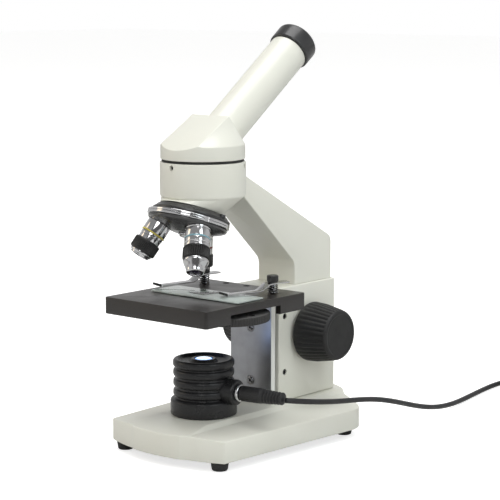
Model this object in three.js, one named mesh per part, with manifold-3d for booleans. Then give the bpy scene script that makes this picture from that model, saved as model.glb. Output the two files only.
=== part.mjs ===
// A student's monocular compound microscope: a cast base with a ribbed LED lamp, a focus housing,
// a rack-driven arm with a turning head and a tilted three-lens turret, a fixed stage with clips,
// and the lamp's mains adapter on its cord. Millimetres, +Z up.
//
// Every function works from the optical axis: X to the user's right, Y from the front to the arm,
// Z up from the table. The whole group then moves by FRAME_SHIFT_Y, which puts the origin under
// the middle of the microscope.
import * as THREE from "three";
import { mergeVertices } from "three/addons/utils/BufferGeometryUtils.js";
import { ConvexGeometry } from "three/addons/geometries/ConvexGeometry.js";
import Module from "manifold-3d";

const wasm = await Module();
wasm.setup();

// ---- driving dimensions ----
const FRAME_SHIFT_Y = -40;
const GAP = 0.3; // clearance between pieces that touch
const FINENESS = 0.4; // share of the sides that round pieces ask for

const FEET_HEIGHT = 5.8;
const BASE_FRONT_RADIUS = 120;
const BASE_FRONT_Y = -48;
const BASE_REAR_Y = 128;
const BASE_HALF_FRONT = 50;
const BASE_HALF_REAR = 58;
const BASE_SIDE_END_Y = 99; // where the sides turn in towards the rear end
const BASE_HALF_TAIL = 12;
const WING_EDGE_Z = 19.6;
const WING_INNER_Z = 22;
const PLATFORM_Z = 25;
const PLATFORM_HALF = 23.5;

const FEET = [
  { name: "front_left", x: -42, y: -31.5 },
  { name: "front_right", x: 42, y: -31.5 },
  { name: "rear_left", x: -44.5, y: 95 },
  { name: "rear_right", x: 44.5, y: 95 },
];

const HOUSING = { half: 19, front: 55.3, rear: 117.5, top: 104 };
const ARM = { half: 16.4, front: 75.3, rear: 115.3 };
const SHAFT = { y: 87.5, z: 70.5, radius: 3 };
const BRACKET = { half: 18.2, front: 47.9, rear: 52.3 };
const TONGUE = { half: 13.5, rear: 69.5, bottom: 30, top: 97 }; // the bracket's, inside the housing
const BRACKET_SCREW_HEIGHTS = [39.5, 76.5];
const SET_SCREW_Y = 61.6;
const SET_SCREW_HEIGHTS = [45.5, 84];

const STAGE_TOP = 104.8;
const STAGE = { half: 45, front: -47.2, rear: 51.4, plate: 5.2, depth: 11.2, wall: 4 };
const STAGE_SCREW_X = [-11, 11];
const STAGE_SCREW_Y = 39.5;
const DISC = { x: 21.5, y: -1, radius: 28.3, bottom: 91, top: 96.3 };
const CLIP_POST = { x: 30.4, y: 34.8, radius: 1.5 };
const CLIP_FLAT_Z = 111.2;
const CLIP_ARM_Z = 106.8;

const DRUM = { radius: 28.2, bottom: 170, top: 193.4 };
const HEAD = { radius: 27.7, bottom: 195.2, shoulder: 204.4, neck: 18 };
const HEAD_SCREW_Z = 190.6;
const HEAD_SCREW_DEGREES = [-94, 26, 146];
const TUBE_TILT = THREE.MathUtils.degToRad(53.5); // from the vertical, leaning over the arm
const TUBE_ORIGIN_Z = 197.3;
const TUBE = { radius: 13.5, bore: 11.75, start: 21.4, end: 108.4 };
const EYEPIECE = { radius: 15, barrel: 11.45, end: 122 };

const TURRET_TILT = THREE.MathUtils.degToRad(20);
const TURRET_TURN = THREE.MathUtils.degToRad(7.5); // how far past its click stop the turret stands
const TURRET_APEX_Z = 195.2; // where the turret's axis meets the optical axis
const TURRET = { radius: 27.2, inner: 25, face: 39.8, ring: 3.4, bottom: 51 };
const MOUNT_SETBACK = 1.8; // the nosepiece mount's centre, from the turret's axis towards the arm
const OBJECTIVE_SEAT = 47.6; // from the apex, along each lens's own axis
const OBJECTIVES = [
  { name: "objective_4x", turn: 0, radius: 8.5, gripStart: 63, gripEnd: 71.5, tip: 74, nose: 6 },
  { name: "objective_10x", turn: 120, radius: 8.4, gripStart: 65, gripEnd: 73, tip: 76, nose: 6.2 },
  { name: "objective_40x", turn: -120, radius: 8.4, gripStart: 65, gripEnd: 73, tip: 82.2, nose: 5.4 },
];

const LAMP = { base: 22.1, rib: 20.4, groove: 18.6, top: 62.6, baseTop: 36 };
const JACK_TURN = THREE.MathUtils.degToRad(9.1);
const JACK_Z = 42;
const CORD_DIAMETER = 3.6;
const COIL = { x: 70, y: 322, middle: 20, half: 5.5, height: 10.9 };
const ADAPTER = { x: 116, y: 284, long: 62, wide: 36, high: 28 };

// The uncoiled cord, from the plug's tail to the coil, in the order that it lies.
const CORD_ROUTE = [
  [62.4, 10.0, 41.2], [65.5, 15.5, 40.3], [68.0, 25, 38.6], [69.8, 38, 36.4], [70.6, 54, 34.0],
  [70.6, 72, 31.9], [70.0, 92, 29.0], [69.0, 112, 24.5], [67.6, 132, 18.6], [65.6, 152, 12.6],
  [63.0, 172, 7.6], [60.0, 192, 4.2], [56.4, 212, 2.4], [52.6, 232, 1.9], [48.8, 252, 1.9],
  [45.4, 271, 1.9], [43.4, 288, 1.9], [43.6, 300, 1.9], [45.2, 309, 1.9],
];

const IVORY = new THREE.Color(0.86, 0.85, 0.79);
const BLACK = new THREE.Color(0.03, 0.03, 0.032);
const SOFT_BLACK = new THREE.Color(0.05, 0.05, 0.052);
const CHROME = new THREE.Color(0.78, 0.78, 0.8);
const STEEL = new THREE.Color(0.6, 0.6, 0.62);
const GREY = new THREE.Color(0.5, 0.51, 0.54);
const BRASS = new THREE.Color(0.72, 0.56, 0.28);
const GLASS = new THREE.Color(0.8, 0.92, 0.9);

const microscope = new THREE.Group();
microscope.position.y = FRAME_SHIFT_Y;

// ---- helpers ----
function solid(geometry) {
  const bare = geometry.clone();
  bare.deleteAttribute("normal");
  bare.deleteAttribute("uv");
  const merged = mergeVertices(bare, 1e-4);
  const index = [];
  const source = merged.index.array;
  for (let i = 0; i < source.length; i += 3) {
    const [a, b, c] = [source[i], source[i + 1], source[i + 2]];
    if (a !== b && b !== c && a !== c) index.push(a, b, c);
  }
  const points = merged.attributes.position.array;
  let volume = 0;
  const corner = (k) => new THREE.Vector3(points[3 * k], points[3 * k + 1], points[3 * k + 2]);
  for (let i = 0; i < index.length; i += 3) {
    volume += corner(index[i]).dot(corner(index[i + 1]).cross(corner(index[i + 2])));
  }
  if (volume < 0) index.reverse();
  const mesh = new wasm.Mesh({
    numProp: 3,
    vertProperties: new Float32Array(points),
    triVerts: new Uint32Array(index),
  });
  return new wasm.Manifold(mesh);
}

function addPart(name, shape, colour, roughness, metalness, parent = microscope) {
  const mesh = shape.getMesh();
  const geometry = new THREE.BufferGeometry();
  geometry.setAttribute("position", new THREE.BufferAttribute(mesh.vertProperties, 3));
  geometry.setIndex(new THREE.BufferAttribute(mesh.triVerts, 1));
  geometry.computeVertexNormals();
  const material = new THREE.MeshStandardMaterial({ color: colour, roughness, metalness });
  const part = new THREE.Mesh(geometry, material);
  part.name = name;
  parent.add(part);
  return part;
}

function box(x0, x1, y0, y1, z0, z1) {
  const geometry = new THREE.BoxGeometry(x1 - x0, y1 - y0, z1 - z0);
  geometry.translate((x0 + x1) / 2, (y0 + y1) / 2, (z0 + z1) / 2);
  return solid(geometry);
}

// Round pieces are faceted coarsely, and small sockets keep the sides that they ask for.
function facets(sides) {
  return sides <= 12 ? sides : Math.max(12, 2 * Math.round((sides * FINENESS) / 2));
}

function rodZ(radius, z0, z1, x = 0, y = 0, sides = 32) {
  const geometry = new THREE.CylinderGeometry(radius, radius, z1 - z0, facets(sides));
  geometry.rotateX(Math.PI / 2);
  geometry.translate(x, y, (z0 + z1) / 2);
  return solid(geometry);
}

function rodX(radius, x0, x1, y, z, sides = 24) {
  const geometry = new THREE.CylinderGeometry(radius, radius, x1 - x0, facets(sides));
  geometry.rotateZ(Math.PI / 2);
  geometry.translate((x0 + x1) / 2, y, z);
  return solid(geometry);
}

function rodY(radius, y0, y1, x, z, sides = 24) {
  const geometry = new THREE.CylinderGeometry(radius, radius, y1 - y0, facets(sides));
  geometry.translate(x, (y0 + y1) / 2, z);
  return solid(geometry);
}

// A turned piece about Z, from [radius, z] points that start and end on the axis.
function turned(profile, sides = 40) {
  const points = profile.map(([r, z]) => new THREE.Vector2(r, z));
  const geometry = new THREE.LatheGeometry(points, facets(sides));
  geometry.rotateX(Math.PI / 2);
  return solid(geometry);
}

// A turned ring about Z, whose section closes on itself.
function turnedRing(profile, sides = 40) {
  return turned([...profile, profile[0]], sides);
}

// A plate whose outline is in X and Y.
function plate(outline, z0, z1) {
  const geometry = new THREE.ExtrudeGeometry(outline, {
    depth: z1 - z0, bevelEnabled: false, curveSegments: 5,
  });
  geometry.translate(0, 0, z0);
  return solid(geometry);
}

// A body whose outline is in Y and Z, and which runs along X.
function sideProfile(outline, x0, x1) {
  const geometry = new THREE.ExtrudeGeometry(outline, {
    depth: x1 - x0, bevelEnabled: false, curveSegments: 5,
  });
  geometry.translate(0, 0, x0);
  const basis = new THREE.Matrix4().makeBasis(
    new THREE.Vector3(0, 1, 0),
    new THREE.Vector3(0, 0, 1),
    new THREE.Vector3(1, 0, 0),
  );
  geometry.applyMatrix4(basis);
  return solid(geometry);
}

function polygon(points) {
  return new THREE.Shape(points.map(([a, b]) => new THREE.Vector2(a, b)));
}

// A polygon with its corners rounded: each point is [a, b, radius].
function roundedPolygon(points) {
  const shape = new THREE.Shape();
  points.forEach(([a, b, radius], i) => {
    const here = new THREE.Vector2(a, b);
    const before = points[(i + points.length - 1) % points.length];
    const after = points[(i + 1) % points.length];
    const start = new THREE.Vector2(before[0], before[1]).sub(here).setLength(radius).add(here);
    const end = new THREE.Vector2(after[0], after[1]).sub(here).setLength(radius).add(here);
    if (i === 0) shape.moveTo(start.x, start.y);
    else shape.lineTo(start.x, start.y);
    if (radius > 0) shape.quadraticCurveTo(a, b, end.x, end.y);
  });
  shape.closePath();
  return shape;
}

function cut(shape, ...tools) {
  return tools.reduce((left, tool) => left.subtract(tool), shape);
}

function join(shape, ...more) {
  return more.reduce((whole, next) => whole.add(next), shape);
}

function placed(shape, matrix) {
  return shape.transform(matrix.elements);
}

// ---- base ----
function baseOutline(inset) {
  const half = BASE_HALF_FRONT - inset;
  const radius = BASE_FRONT_RADIUS - inset;
  const centreY = BASE_FRONT_Y + BASE_FRONT_RADIUS;
  const reach = Math.asin(half / radius);
  const cornerY = centreY - radius * Math.cos(reach);
  const side = new THREE.Vector2(BASE_HALF_REAR - inset, BASE_SIDE_END_Y - inset / 2);
  const tail = new THREE.Vector2(BASE_HALF_TAIL - inset / 2, BASE_REAR_Y - inset);
  const [sideRound, tailRound] = [12, 8];
  const along = tail.clone().sub(side).normalize();
  const sideEnd = side.clone().addScaledVector(along, sideRound);
  const tailStart = tail.clone().addScaledVector(along, -tailRound);
  const shape = new THREE.Shape();
  shape.moveTo(half, cornerY);
  shape.lineTo(side.x, side.y - sideRound);
  shape.quadraticCurveTo(side.x, side.y, sideEnd.x, sideEnd.y);
  shape.lineTo(tailStart.x, tailStart.y);
  shape.quadraticCurveTo(tail.x, tail.y, tail.x - tailRound, tail.y);
  shape.lineTo(-tail.x + tailRound, tail.y);
  shape.quadraticCurveTo(-tail.x, tail.y, -tailStart.x, tailStart.y);
  shape.lineTo(-sideEnd.x, sideEnd.y);
  shape.quadraticCurveTo(-side.x, side.y, -side.x, side.y - sideRound);
  shape.lineTo(-half, cornerY);
  shape.absarc(0, centreY, radius, -Math.PI / 2 - reach, -Math.PI / 2 + reach, false);
  return shape;
}

// The casting's cross-section, seen from the front: two sloping wings and the raised platform.
function baseSection() {
  const bevel = 3;
  const outer = 62;
  return polygon([
    [-outer, FEET_HEIGHT], [outer, FEET_HEIGHT], [outer, WING_EDGE_Z - 0.2],
    [PLATFORM_HALF + bevel, WING_INNER_Z], [PLATFORM_HALF, PLATFORM_Z],
    [-PLATFORM_HALF, PLATFORM_Z], [-PLATFORM_HALF - bevel, WING_INNER_Z],
    [-outer, WING_EDGE_Z - 0.2],
  ]);
}

function addBase() {
  const wall = 4;
  const floorThickness = 1.5;
  const section = new THREE.ExtrudeGeometry(baseSection(), { depth: 200, bevelEnabled: false });
  section.rotateX(Math.PI / 2);
  section.translate(0, 140, 0);
  const plan = plate(baseOutline(0), 0, 40);
  const frontSlope = sideProfile(
    polygon([[BASE_FRONT_Y - 2, 20.9], [-24, PLATFORM_Z], [-24, 30], [BASE_FRONT_Y - 2, 30]]),
    -60, 60,
  );
  const hollow = plate(baseOutline(wall), 0, WING_EDGE_Z - wall);
  let casting = cut(solid(section).intersect(plan), frontSlope, hollow);
  const bosses = FEET.map(({ x, y }) => (
    rodZ(7, FEET_HEIGHT + floorThickness + GAP, WING_EDGE_Z - 2, x, y, 20)
  ));
  casting = join(casting, ...bosses);
  for (const x of [-11, 11]) {
    casting = cut(casting, rodZ(2.6, 10, 30, x, 64.5, 16), rodZ(2.6, 10, 30, x, 110, 16));
  }
  addPart("base_casting", casting, IVORY, 0.35, 0.1);

  const cover = plate(baseOutline(wall + GAP), FEET_HEIGHT, FEET_HEIGHT + floorThickness);
  addPart("base_cover", cover, SOFT_BLACK, 0.6, 0.3);

  const top = FEET_HEIGHT - GAP;
  FEET.forEach(({ name, x, y }) => {
    const foot = turned([[0, 0], [4.6, 0], [5.2, 0.6], [6, top], [0, top]], 24);
    addPart(`rubber_foot_${name}`, foot.translate([x, y, 0]), BLACK, 0.8, 0);
  });
}

// ---- focus housing, stage bracket and their screws ----
function addHousing() {
  const { half, front, rear, top } = HOUSING;
  const bottom = PLATFORM_Z + GAP;
  const outer = plate(
    roundedPolygon([[-half, front, 1.5], [half, front, 1.5], [half, rear, 3], [-half, rear, 3]]),
    bottom, top,
  );
  const well = box(
    -ARM.half - 0.5, ARM.half + 0.5, ARM.front - 0.5, ARM.rear + 0.5, bottom - 1, top + 1,
  );
  const slot = box(
    -TONGUE.half - GAP, TONGUE.half + GAP, front - 1, TONGUE.rear + GAP,
    TONGUE.bottom - GAP, TONGUE.top + GAP,
  );
  const shaftHole = rodX(6 + GAP, -half - 1, half + 1, SHAFT.y, SHAFT.z);
  const screwHoles = SET_SCREW_HEIGHTS.map((z) => rodX(2.2, 10, half + 1, SET_SCREW_Y, z, 16));
  addPart("focus_housing", cut(outer, well, slot, shaftHole, ...screwHoles), IVORY, 0.35, 0.1);

  SET_SCREW_HEIGHTS.forEach((z, i) => {
    const screw = rodX(1.9, TONGUE.half + GAP, half - 0.6, SET_SCREW_Y, z, 16);
    const socket = rodX(0.95, half - 2.2, half, SET_SCREW_Y, z, 6);
    addPart(`bracket_set_screw_${i + 1}`, cut(screw, socket), BLACK, 0.4, 0.8);
  });

  for (const side of [-1, 1]) {
    const bush = cut(
      rodX(6, half - 3, half + 1.2, SHAFT.y, SHAFT.z),
      rodX(SHAFT.radius + GAP, half - 4, half + 2, SHAFT.y, SHAFT.z),
    );
    const name = side < 0 ? "shaft_bushing_left" : "shaft_bushing_right";
    addPart(name, side < 0 ? bush.mirror([1, 0, 0]) : bush, BRASS, 0.4, 0.9);
  }
}

function addBracket() {
  const { half, front, rear } = BRACKET;
  const bottom = PLATFORM_Z + GAP;
  const shelfTop = STAGE_TOP - STAGE.plate - GAP;
  const face = box(-half, half, front, rear, bottom, shelfTop);
  const shelf = box(-half, half, 33, front + 1, shelfTop - 4, shelfTop);
  const tongue = box(-TONGUE.half, TONGUE.half, rear - 1, TONGUE.rear, TONGUE.bottom, TONGUE.top);
  const recesses = BRACKET_SCREW_HEIGHTS.flatMap((z) => [
    rodY(3.2, front - 1, front + 3, 0, z),
    rodY(1.9, front - 1, front + 16.3, 0, z),
  ]);
  const shelfHoles = STAGE_SCREW_X.map((x) => (
    rodZ(1.9, shelfTop - 5, shelfTop + 1, x, STAGE_SCREW_Y, 16)
  ));
  const bracket = cut(join(face, shelf, tongue), ...recesses, ...shelfHoles);
  addPart("stage_bracket", bracket, GREY, 0.4, 0.6);

  BRACKET_SCREW_HEIGHTS.forEach((z, i) => {
    const head = rodY(2.9, front - 0.4, front + 2.7, 0, z);
    const shank = rodY(1.6, front + 2, front + 15.8, 0, z, 16);
    const socket = rodY(1.3, front - 1, front + 1.4, 0, z, 6);
    addPart(`bracket_screw_${i + 1}`, cut(join(head, shank), socket), STEEL, 0.3, 1);
  });
}

// ---- stage ----
function addStage() {
  const { half, front, rear, wall } = STAGE;
  const plateBottom = STAGE_TOP - STAGE.plate;
  const bottom = STAGE_TOP - STAGE.depth;
  const outline = roundedPolygon([
    [-half, front, 3.5], [half, front, 3.5], [half, rear, 2], [-half, rear, 2],
  ]);
  const slab = plate(outline, bottom, STAGE_TOP);
  const hollow = box(-half + wall, half - wall, front + wall, rear - wall, bottom - 1, plateBottom);
  const sideGap = box(half - wall - 1, half + 1, -24, 20.5, bottom - 1, plateBottom);
  const bracketGap = box(
    -BRACKET.half - GAP, BRACKET.half + GAP, rear - wall - 1, rear + 1,
    bottom - 1, plateBottom,
  );
  const lensHole = join(rodZ(12, 100, STAGE_TOP + 1), rodZ(9.5, plateBottom - 1, STAGE_TOP + 1));
  const pivotHole = rodZ(1.9, plateBottom - 1, STAGE_TOP - 1.6, DISC.x, DISC.y, 16);
  const postHoles = [-1, 1].map((s) => (
    rodZ(CLIP_POST.radius + GAP, plateBottom - 1, STAGE_TOP + 1, s * CLIP_POST.x, CLIP_POST.y, 16)
  ));
  const spareHoles = [-20.5, -2].map((x) => rodZ(2.4, STAGE_TOP - 3.5, STAGE_TOP + 1, x, 46, 20));
  const fixings = STAGE_SCREW_X.map((x) => (
    rodZ(1.9, plateBottom - 1, STAGE_TOP - 1.6, x, STAGE_SCREW_Y, 16)
  ));
  const stage = cut(
    slab, hollow, sideGap, bracketGap, lensHole, pivotHole, ...postHoles, ...spareHoles, ...fixings,
  );
  addPart("stage_plate", stage, SOFT_BLACK, 0.45, 0.3);

  const shelfBottom = plateBottom - GAP - 4;
  STAGE_SCREW_X.forEach((x, i) => {
    const screw = join(
      rodZ(1.6, shelfBottom - 1, STAGE_TOP - 2, x, STAGE_SCREW_Y, 16),
      rodZ(2.9, shelfBottom - 2.4, shelfBottom - GAP, x, STAGE_SCREW_Y, 16),
    );
    addPart(`stage_screw_${i + 1}`, screw, STEEL, 0.3, 1);
  });

  const lens = turned([
    [0, 100.6], [8.8, 100.6], [11.6, 101.6], [11.6, 103.6], [9, 104.2], [0, 104.6],
  ]);
  addPart("condenser_lens", lens, GLASS, 0.05, 0);
}

function addDiaphragm() {
  const disc = rodZ(DISC.radius, DISC.bottom, DISC.top, 0, 0, 64);
  const underside = cut(rodZ(DISC.radius - 2.6, DISC.bottom - 1, DISC.bottom + 3), rodZ(6, 0, 200));
  const pivot = rodZ(2.2 + GAP, 80, 110, 0, 0, 20);
  const sizes = [6.2, 4.8, 3.6, 2.6, 1.7, 1.1];
  const toAxis = Math.atan2(-DISC.y, -DISC.x);
  const reach = Math.hypot(DISC.x, DISC.y);
  const apertures = sizes.map((radius, i) => {
    const angle = toAxis + (i * 2 * Math.PI) / sizes.length;
    return rodZ(radius, 80, 110, reach * Math.cos(angle), reach * Math.sin(angle), 20);
  });
  const wheel = cut(disc, underside, pivot, ...apertures);
  addPart("diaphragm_disc", wheel.translate([DISC.x, DISC.y, 0]), SOFT_BLACK, 0.5, 0.2);

  const screw = join(
    rodZ(4.4, DISC.bottom - 2.2, DISC.bottom - GAP, 0, 0, 20),
    rodZ(2.2, DISC.bottom - 1, DISC.top + GAP, 0, 0, 20),
    rodZ(1.6, DISC.top, STAGE_TOP - 2, 0, 0, 16),
    rodZ(3.2, DISC.top + GAP, STAGE_TOP - STAGE.plate - GAP, 0, 0, 20),
  );
  addPart("diaphragm_screw", screw.translate([DISC.x, DISC.y, 0]), STEEL, 0.3, 1);
}

// ---- stage clips and the specimen ----
// A spring leaf, seen from the side: the flat round the post, the ramp, and the arm on the glass.
function clipLeaf() {
  const thickness = 0.8;
  const upper = CLIP_FLAT_Z;
  const lower = CLIP_ARM_Z;
  const line = [[12.5, upper], [-4.6, upper], [-11, lower], [-38, lower], [-41, lower + 1.6]];
  const back = [...line].reverse().map(([y, z]) => [y, z + thickness]);
  const strip = sideProfile(polygon([...line, ...back]), -6, 6);
  const outline = roundedPolygon([
    [-3.6, 12.5, 2], [-4, -6, 0], [-3.6, -12, 0], [-2.2, -41, 1], [2.2, -41, 1],
    [3.6, -12, 0], [4, -6, 0], [3.6, 12.5, 2],
  ]);
  return strip.intersect(plate(outline, 100, 120));
}

function clipSpring() {
  const turns = 5;
  const radius = 3;
  const bottom = STAGE_TOP + 0.7;
  const rise = CLIP_FLAT_Z - bottom - 0.9;
  const points = [];
  const stepsPerTurn = 8;
  const steps = turns * stepsPerTurn;
  for (let i = 0; i <= steps; i += 1) {
    const angle = (i * 2 * Math.PI) / stepsPerTurn;
    const z = bottom + (rise * i) / steps;
    points.push(new THREE.Vector3(radius * Math.cos(angle), radius * Math.sin(angle), z));
  }
  return tube(points, 0.42, steps, 5);
}

function tube(points, radius, steps, sides) {
  const section = new THREE.Shape();
  for (let i = 0; i < sides; i += 1) {
    const angle = (i * 2 * Math.PI) / sides;
    const [a, b] = [radius * Math.cos(angle), radius * Math.sin(angle)];
    if (i === 0) section.moveTo(a, b);
    else section.lineTo(a, b);
  }
  section.closePath();
  const path = new THREE.CatmullRomCurve3(points, false, "centripetal");
  return solid(new THREE.ExtrudeGeometry(section, { steps, extrudePath: path, bevelEnabled: false }));
}

function addClips() {
  const sides = [["left", -1, -12.5], ["right", 1, -15.5]];
  for (const [side, sign, degrees] of sides) {
    const group = new THREE.Group();
    group.position.set(sign * CLIP_POST.x, CLIP_POST.y, 0);
    group.rotation.z = THREE.MathUtils.degToRad(degrees);
    microscope.add(group);
    const eye = rodZ(CLIP_POST.radius + GAP, 100, 120, 0, 0, 20);
    addPart(`stage_clip_${side}`, cut(clipLeaf(), eye), CHROME, 0.15, 1, group);
    addPart(`clip_spring_${side}`, clipSpring(), CHROME, 0.2, 1, group);
    const post = join(
      rodZ(CLIP_POST.radius, STAGE_TOP - STAGE.plate + 0.4, CLIP_FLAT_Z + 3, 0, 0, 20),
      turned([[0, 112.3], [3.7, 112.3], [3.9, 112.8], [3.9, 116.4], [3.3, 117.1], [0, 117.1]], 24),
    );
    addPart(`clip_post_${side}`, post, BLACK, 0.4, 0.4, group);
  }
}

function addSpecimen() {
  const bottom = STAGE_TOP + GAP;
  const top = bottom + 1;
  addPart("specimen_slide", box(-35.1, 41.1, -13, 12.4, bottom, top), GLASS, 0.05, 0);
  const cover = new THREE.BoxGeometry(16, 16, 0.2);
  cover.rotateZ(THREE.MathUtils.degToRad(-9));
  cover.translate(-0.5, 2.3, top + 0.07 + 0.1);
  addPart("cover_glass", solid(cover), GLASS, 0.05, 0);
}

// ---- arm, rack and focus knobs ----
function addArm() {
  const { half, front, rear } = ARM;
  const side = roundedPolygon([
    [front, 86, 1], [front, 119.2, 3], [10, 180.3, 0], [10, 190.6, 0], [rear, 133.6, 4],
    [rear, 34, 1], [95, 34, 1], [95, 86, 0],
  ]);
  const bar = sideProfile(side, -half, half);
  const drum = turned([
    [0, DRUM.bottom], [DRUM.radius - 1, DRUM.bottom], [DRUM.radius, DRUM.bottom + 1],
    [DRUM.radius, DRUM.top], [0, DRUM.top],
  ], 56);
  const bore = rodZ(10, 120, 220, 0, 0, 32);
  const neckHole = rodZ(HEAD.neck + 0.5, DRUM.top - 6, DRUM.top + 2, 0, 0, 40);
  const lockHoles = HEAD_SCREW_DEGREES.map((degrees) => placed(
    rodX(1.7, 10, DRUM.radius + 1, 0, HEAD_SCREW_Z, 16),
    new THREE.Matrix4().makeRotationZ(THREE.MathUtils.degToRad(degrees)),
  ));
  const inside = rodZ(DRUM.radius - 0.5, 150, DRUM.top - 0.2, 0, 0, 56);
  const shortened = cut(bar, inside, box(-30, 30, -30, 0, 100, 200));
  const rackGroove = box(-4.3, 4.3, 94, 97.3, 33, 84);
  // The casting is hollow, and open below where its foot stands in the housing.
  const core = sideProfile(
    roundedPolygon([
      [80, 85, 0], [80, 121, 2], [42, 156.5, 0], [42, 166.5, 0], [109.5, 130, 6], [109.5, 104, 1],
      [92, 104, 0], [92, 85, 0],
    ]),
    -half + 4.5, half - 4.5,
  );
  const whole = join(shortened, drum, nosepieceCone());
  addPart("arm", cut(whole, bore, neckHole, ...lockHoles, rackGroove, core), IVORY, 0.35, 0.1);

  HEAD_SCREW_DEGREES.forEach((degrees, i) => {
    const screw = cut(
      rodX(1.4, 19, DRUM.radius - 0.8, 0, HEAD_SCREW_Z, 16),
      rodX(0.75, DRUM.radius - 2.6, DRUM.radius, 0, HEAD_SCREW_Z, 6),
    );
    const turn = new THREE.Matrix4().makeRotationZ(THREE.MathUtils.degToRad(degrees));
    addPart(`head_set_screw_${i + 1}`, placed(screw, turn), BLACK, 0.4, 0.8);
  });
}

// The cone under the drum, which ends square to the turret's tilted axis.
function nosepieceCone() {
  const points = [];
  const tilt = turretFrame();
  for (let i = 0; i < 40; i += 1) {
    const angle = (i * 2 * Math.PI) / 40;
    const [c, s] = [Math.cos(angle), Math.sin(angle)];
    points.push(new THREE.Vector3(27.2 * c, 27.2 * s, DRUM.bottom + 0.5));
    points.push(new THREE.Vector3(20.5 * c, 20.5 * s, -34.2).applyMatrix4(tilt));
  }
  return solid(new ConvexGeometry(points));
}

// From the turret's own frame, with its axis along Z and its apex at the origin, to the microscope's.
function turretFrame() {
  const frame = new THREE.Matrix4().makeTranslation(0, 0, TURRET_APEX_Z);
  return frame.multiply(new THREE.Matrix4().makeRotationX(-TURRET_TILT));
}

function addRack() {
  const pitch = 2.5;
  const points = [[97, 37], [97, 81]];
  for (let z = 80; z > 38; z -= pitch) {
    points.push([94.4, z], [92.9, z - 0.5], [92.9, z - 1.1], [94.4, z - 1.6]);
  }
  points.push([94.4, 37]);
  addPart("focus_rack", sideProfile(polygon(points), -4, 4), BRASS, 0.4, 0.9);
}

function addPinion() {
  const teeth = 12;
  const shape = new THREE.Shape();
  for (let i = 0; i < teeth; i += 1) {
    const angle = (i * 2 * Math.PI) / teeth;
    [[3.8, 0], [5, 0.14], [5, 0.3], [3.8, 0.44]].forEach(([radius, turn], k) => {
      const [a, b] = [radius * Math.cos(angle + turn), radius * Math.sin(angle + turn)];
      if (i === 0 && k === 0) shape.moveTo(a, b);
      else shape.lineTo(a, b);
    });
  }
  shape.closePath();
  const gear = sideProfile(shape, -5, 5).translate([0, SHAFT.y, SHAFT.z]);
  const shaft = rodX(SHAFT.radius, -44, 44, SHAFT.y, SHAFT.z, 20);
  addPart("pinion_shaft", join(gear, shaft), STEEL, 0.3, 1);
}

function addKnobs() {
  const inner = HOUSING.half + 2;
  const outer = 46.5;
  const profile = [
    [0, inner + 1.5], [17, inner + 1.5], [18.6, inner], [20, inner], [20.6, inner + 1.6],
    [20.2, inner + 8], [17.4, outer - 2], [16, outer], [0, outer],
  ];
  for (const side of [-1, 1]) {
    const knob = cut(turned(profile, 48), rodZ(SHAFT.radius + GAP, 0, 44.4, 0, 0, 20));
    const turn = new THREE.Matrix4().makeRotationY((side * Math.PI) / 2);
    turn.setPosition(0, SHAFT.y, SHAFT.z);
    addPart(side < 0 ? "focus_knob_left" : "focus_knob_right", placed(knob, turn), BLACK, 0.6, 0);
  }
}

// ---- head, prism, tube and eyepiece ----
// From the tube's own frame, with its axis along Z, to the microscope's.
function tubeFrame() {
  const frame = new THREE.Matrix4().makeTranslation(0, 0, TUBE_ORIGIN_Z);
  return frame.multiply(new THREE.Matrix4().makeRotationX(-TUBE_TILT));
}

function addHead() {
  const frame = tubeFrame();
  const facetHalf = 16;
  const facetFront = { y: -22.6, z: 205.2 };
  const facetRear = { y: 7.3, z: 223 };
  const facetSlope = (facetRear.z - facetFront.z) / (facetRear.y - facetFront.y);
  const points = [];
  for (let i = 0; i < 48; i += 1) {
    const angle = (i * 2 * Math.PI) / 48;
    const [x, y] = [HEAD.radius * Math.cos(angle), HEAD.radius * Math.sin(angle)];
    const inFront = y < 0 && Math.abs(x) < facetHalf;
    const top = inFront ? facetFront.z + (y - facetFront.y) * facetSlope : HEAD.shoulder;
    points.push(new THREE.Vector3(x, y, HEAD.bottom), new THREE.Vector3(x, y, top));
  }
  for (const x of [-facetHalf, facetHalf]) {
    points.push(new THREE.Vector3(x, facetFront.y, facetFront.z));
    points.push(new THREE.Vector3(x, facetRear.y, facetRear.z));
  }
  // The roof runs from the round wall up to the tube's face, with a sloping facet in front.
  const shell = solid(new ConvexGeometry(points));
  const neck = rodZ(HEAD.neck, DRUM.top - 5, HEAD.bottom + 1, 0, 0, 40);
  const lightHole = rodZ(9, 180, TUBE_ORIGIN_Z + 4, 0, 0, 32);
  const prismRoom = box(-9, 9, -10.5, 9, HEAD.bottom - 0.5, 211);
  const tubeHole = placed(rodZ(TUBE.bore + 0.25, 4, 60, 0, 0, 40), frame);
  const seat = placed(rodZ(TUBE.radius + GAP, 17, 60, 0, 0, 40), frame);
  const casing = cut(join(shell, neck), lightHole, prismRoom, tubeHole, seat);
  addPart("head_casing", casing, IVORY, 0.35, 0.1);

  const prismShape = polygon([[-9.6, 198.4], [7.6, 198.4], [-6.2, 209.6]]);
  addPart("head_prism", sideProfile(prismShape, -8, 8), GLASS, 0.03, 0);

  const ring = turnedRing([
    [HEAD.neck + 0.6, DRUM.top + GAP], [27.4, DRUM.top + GAP], [27.4, HEAD.bottom - GAP],
    [HEAD.neck + 0.6, HEAD.bottom - GAP],
  ], 56);
  addPart("head_bearing_ring", ring, BLACK, 0.5, 0);

  const body = cut(
    rodZ(TUBE.radius, TUBE.start - 4, TUBE.end, 0, 0, 48),
    rodZ(TUBE.bore, 0, TUBE.end + 1, 0, 0, 48),
  );
  addPart("eyepiece_tube", placed(body, frame), IVORY, 0.35, 0.1);
}

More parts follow.
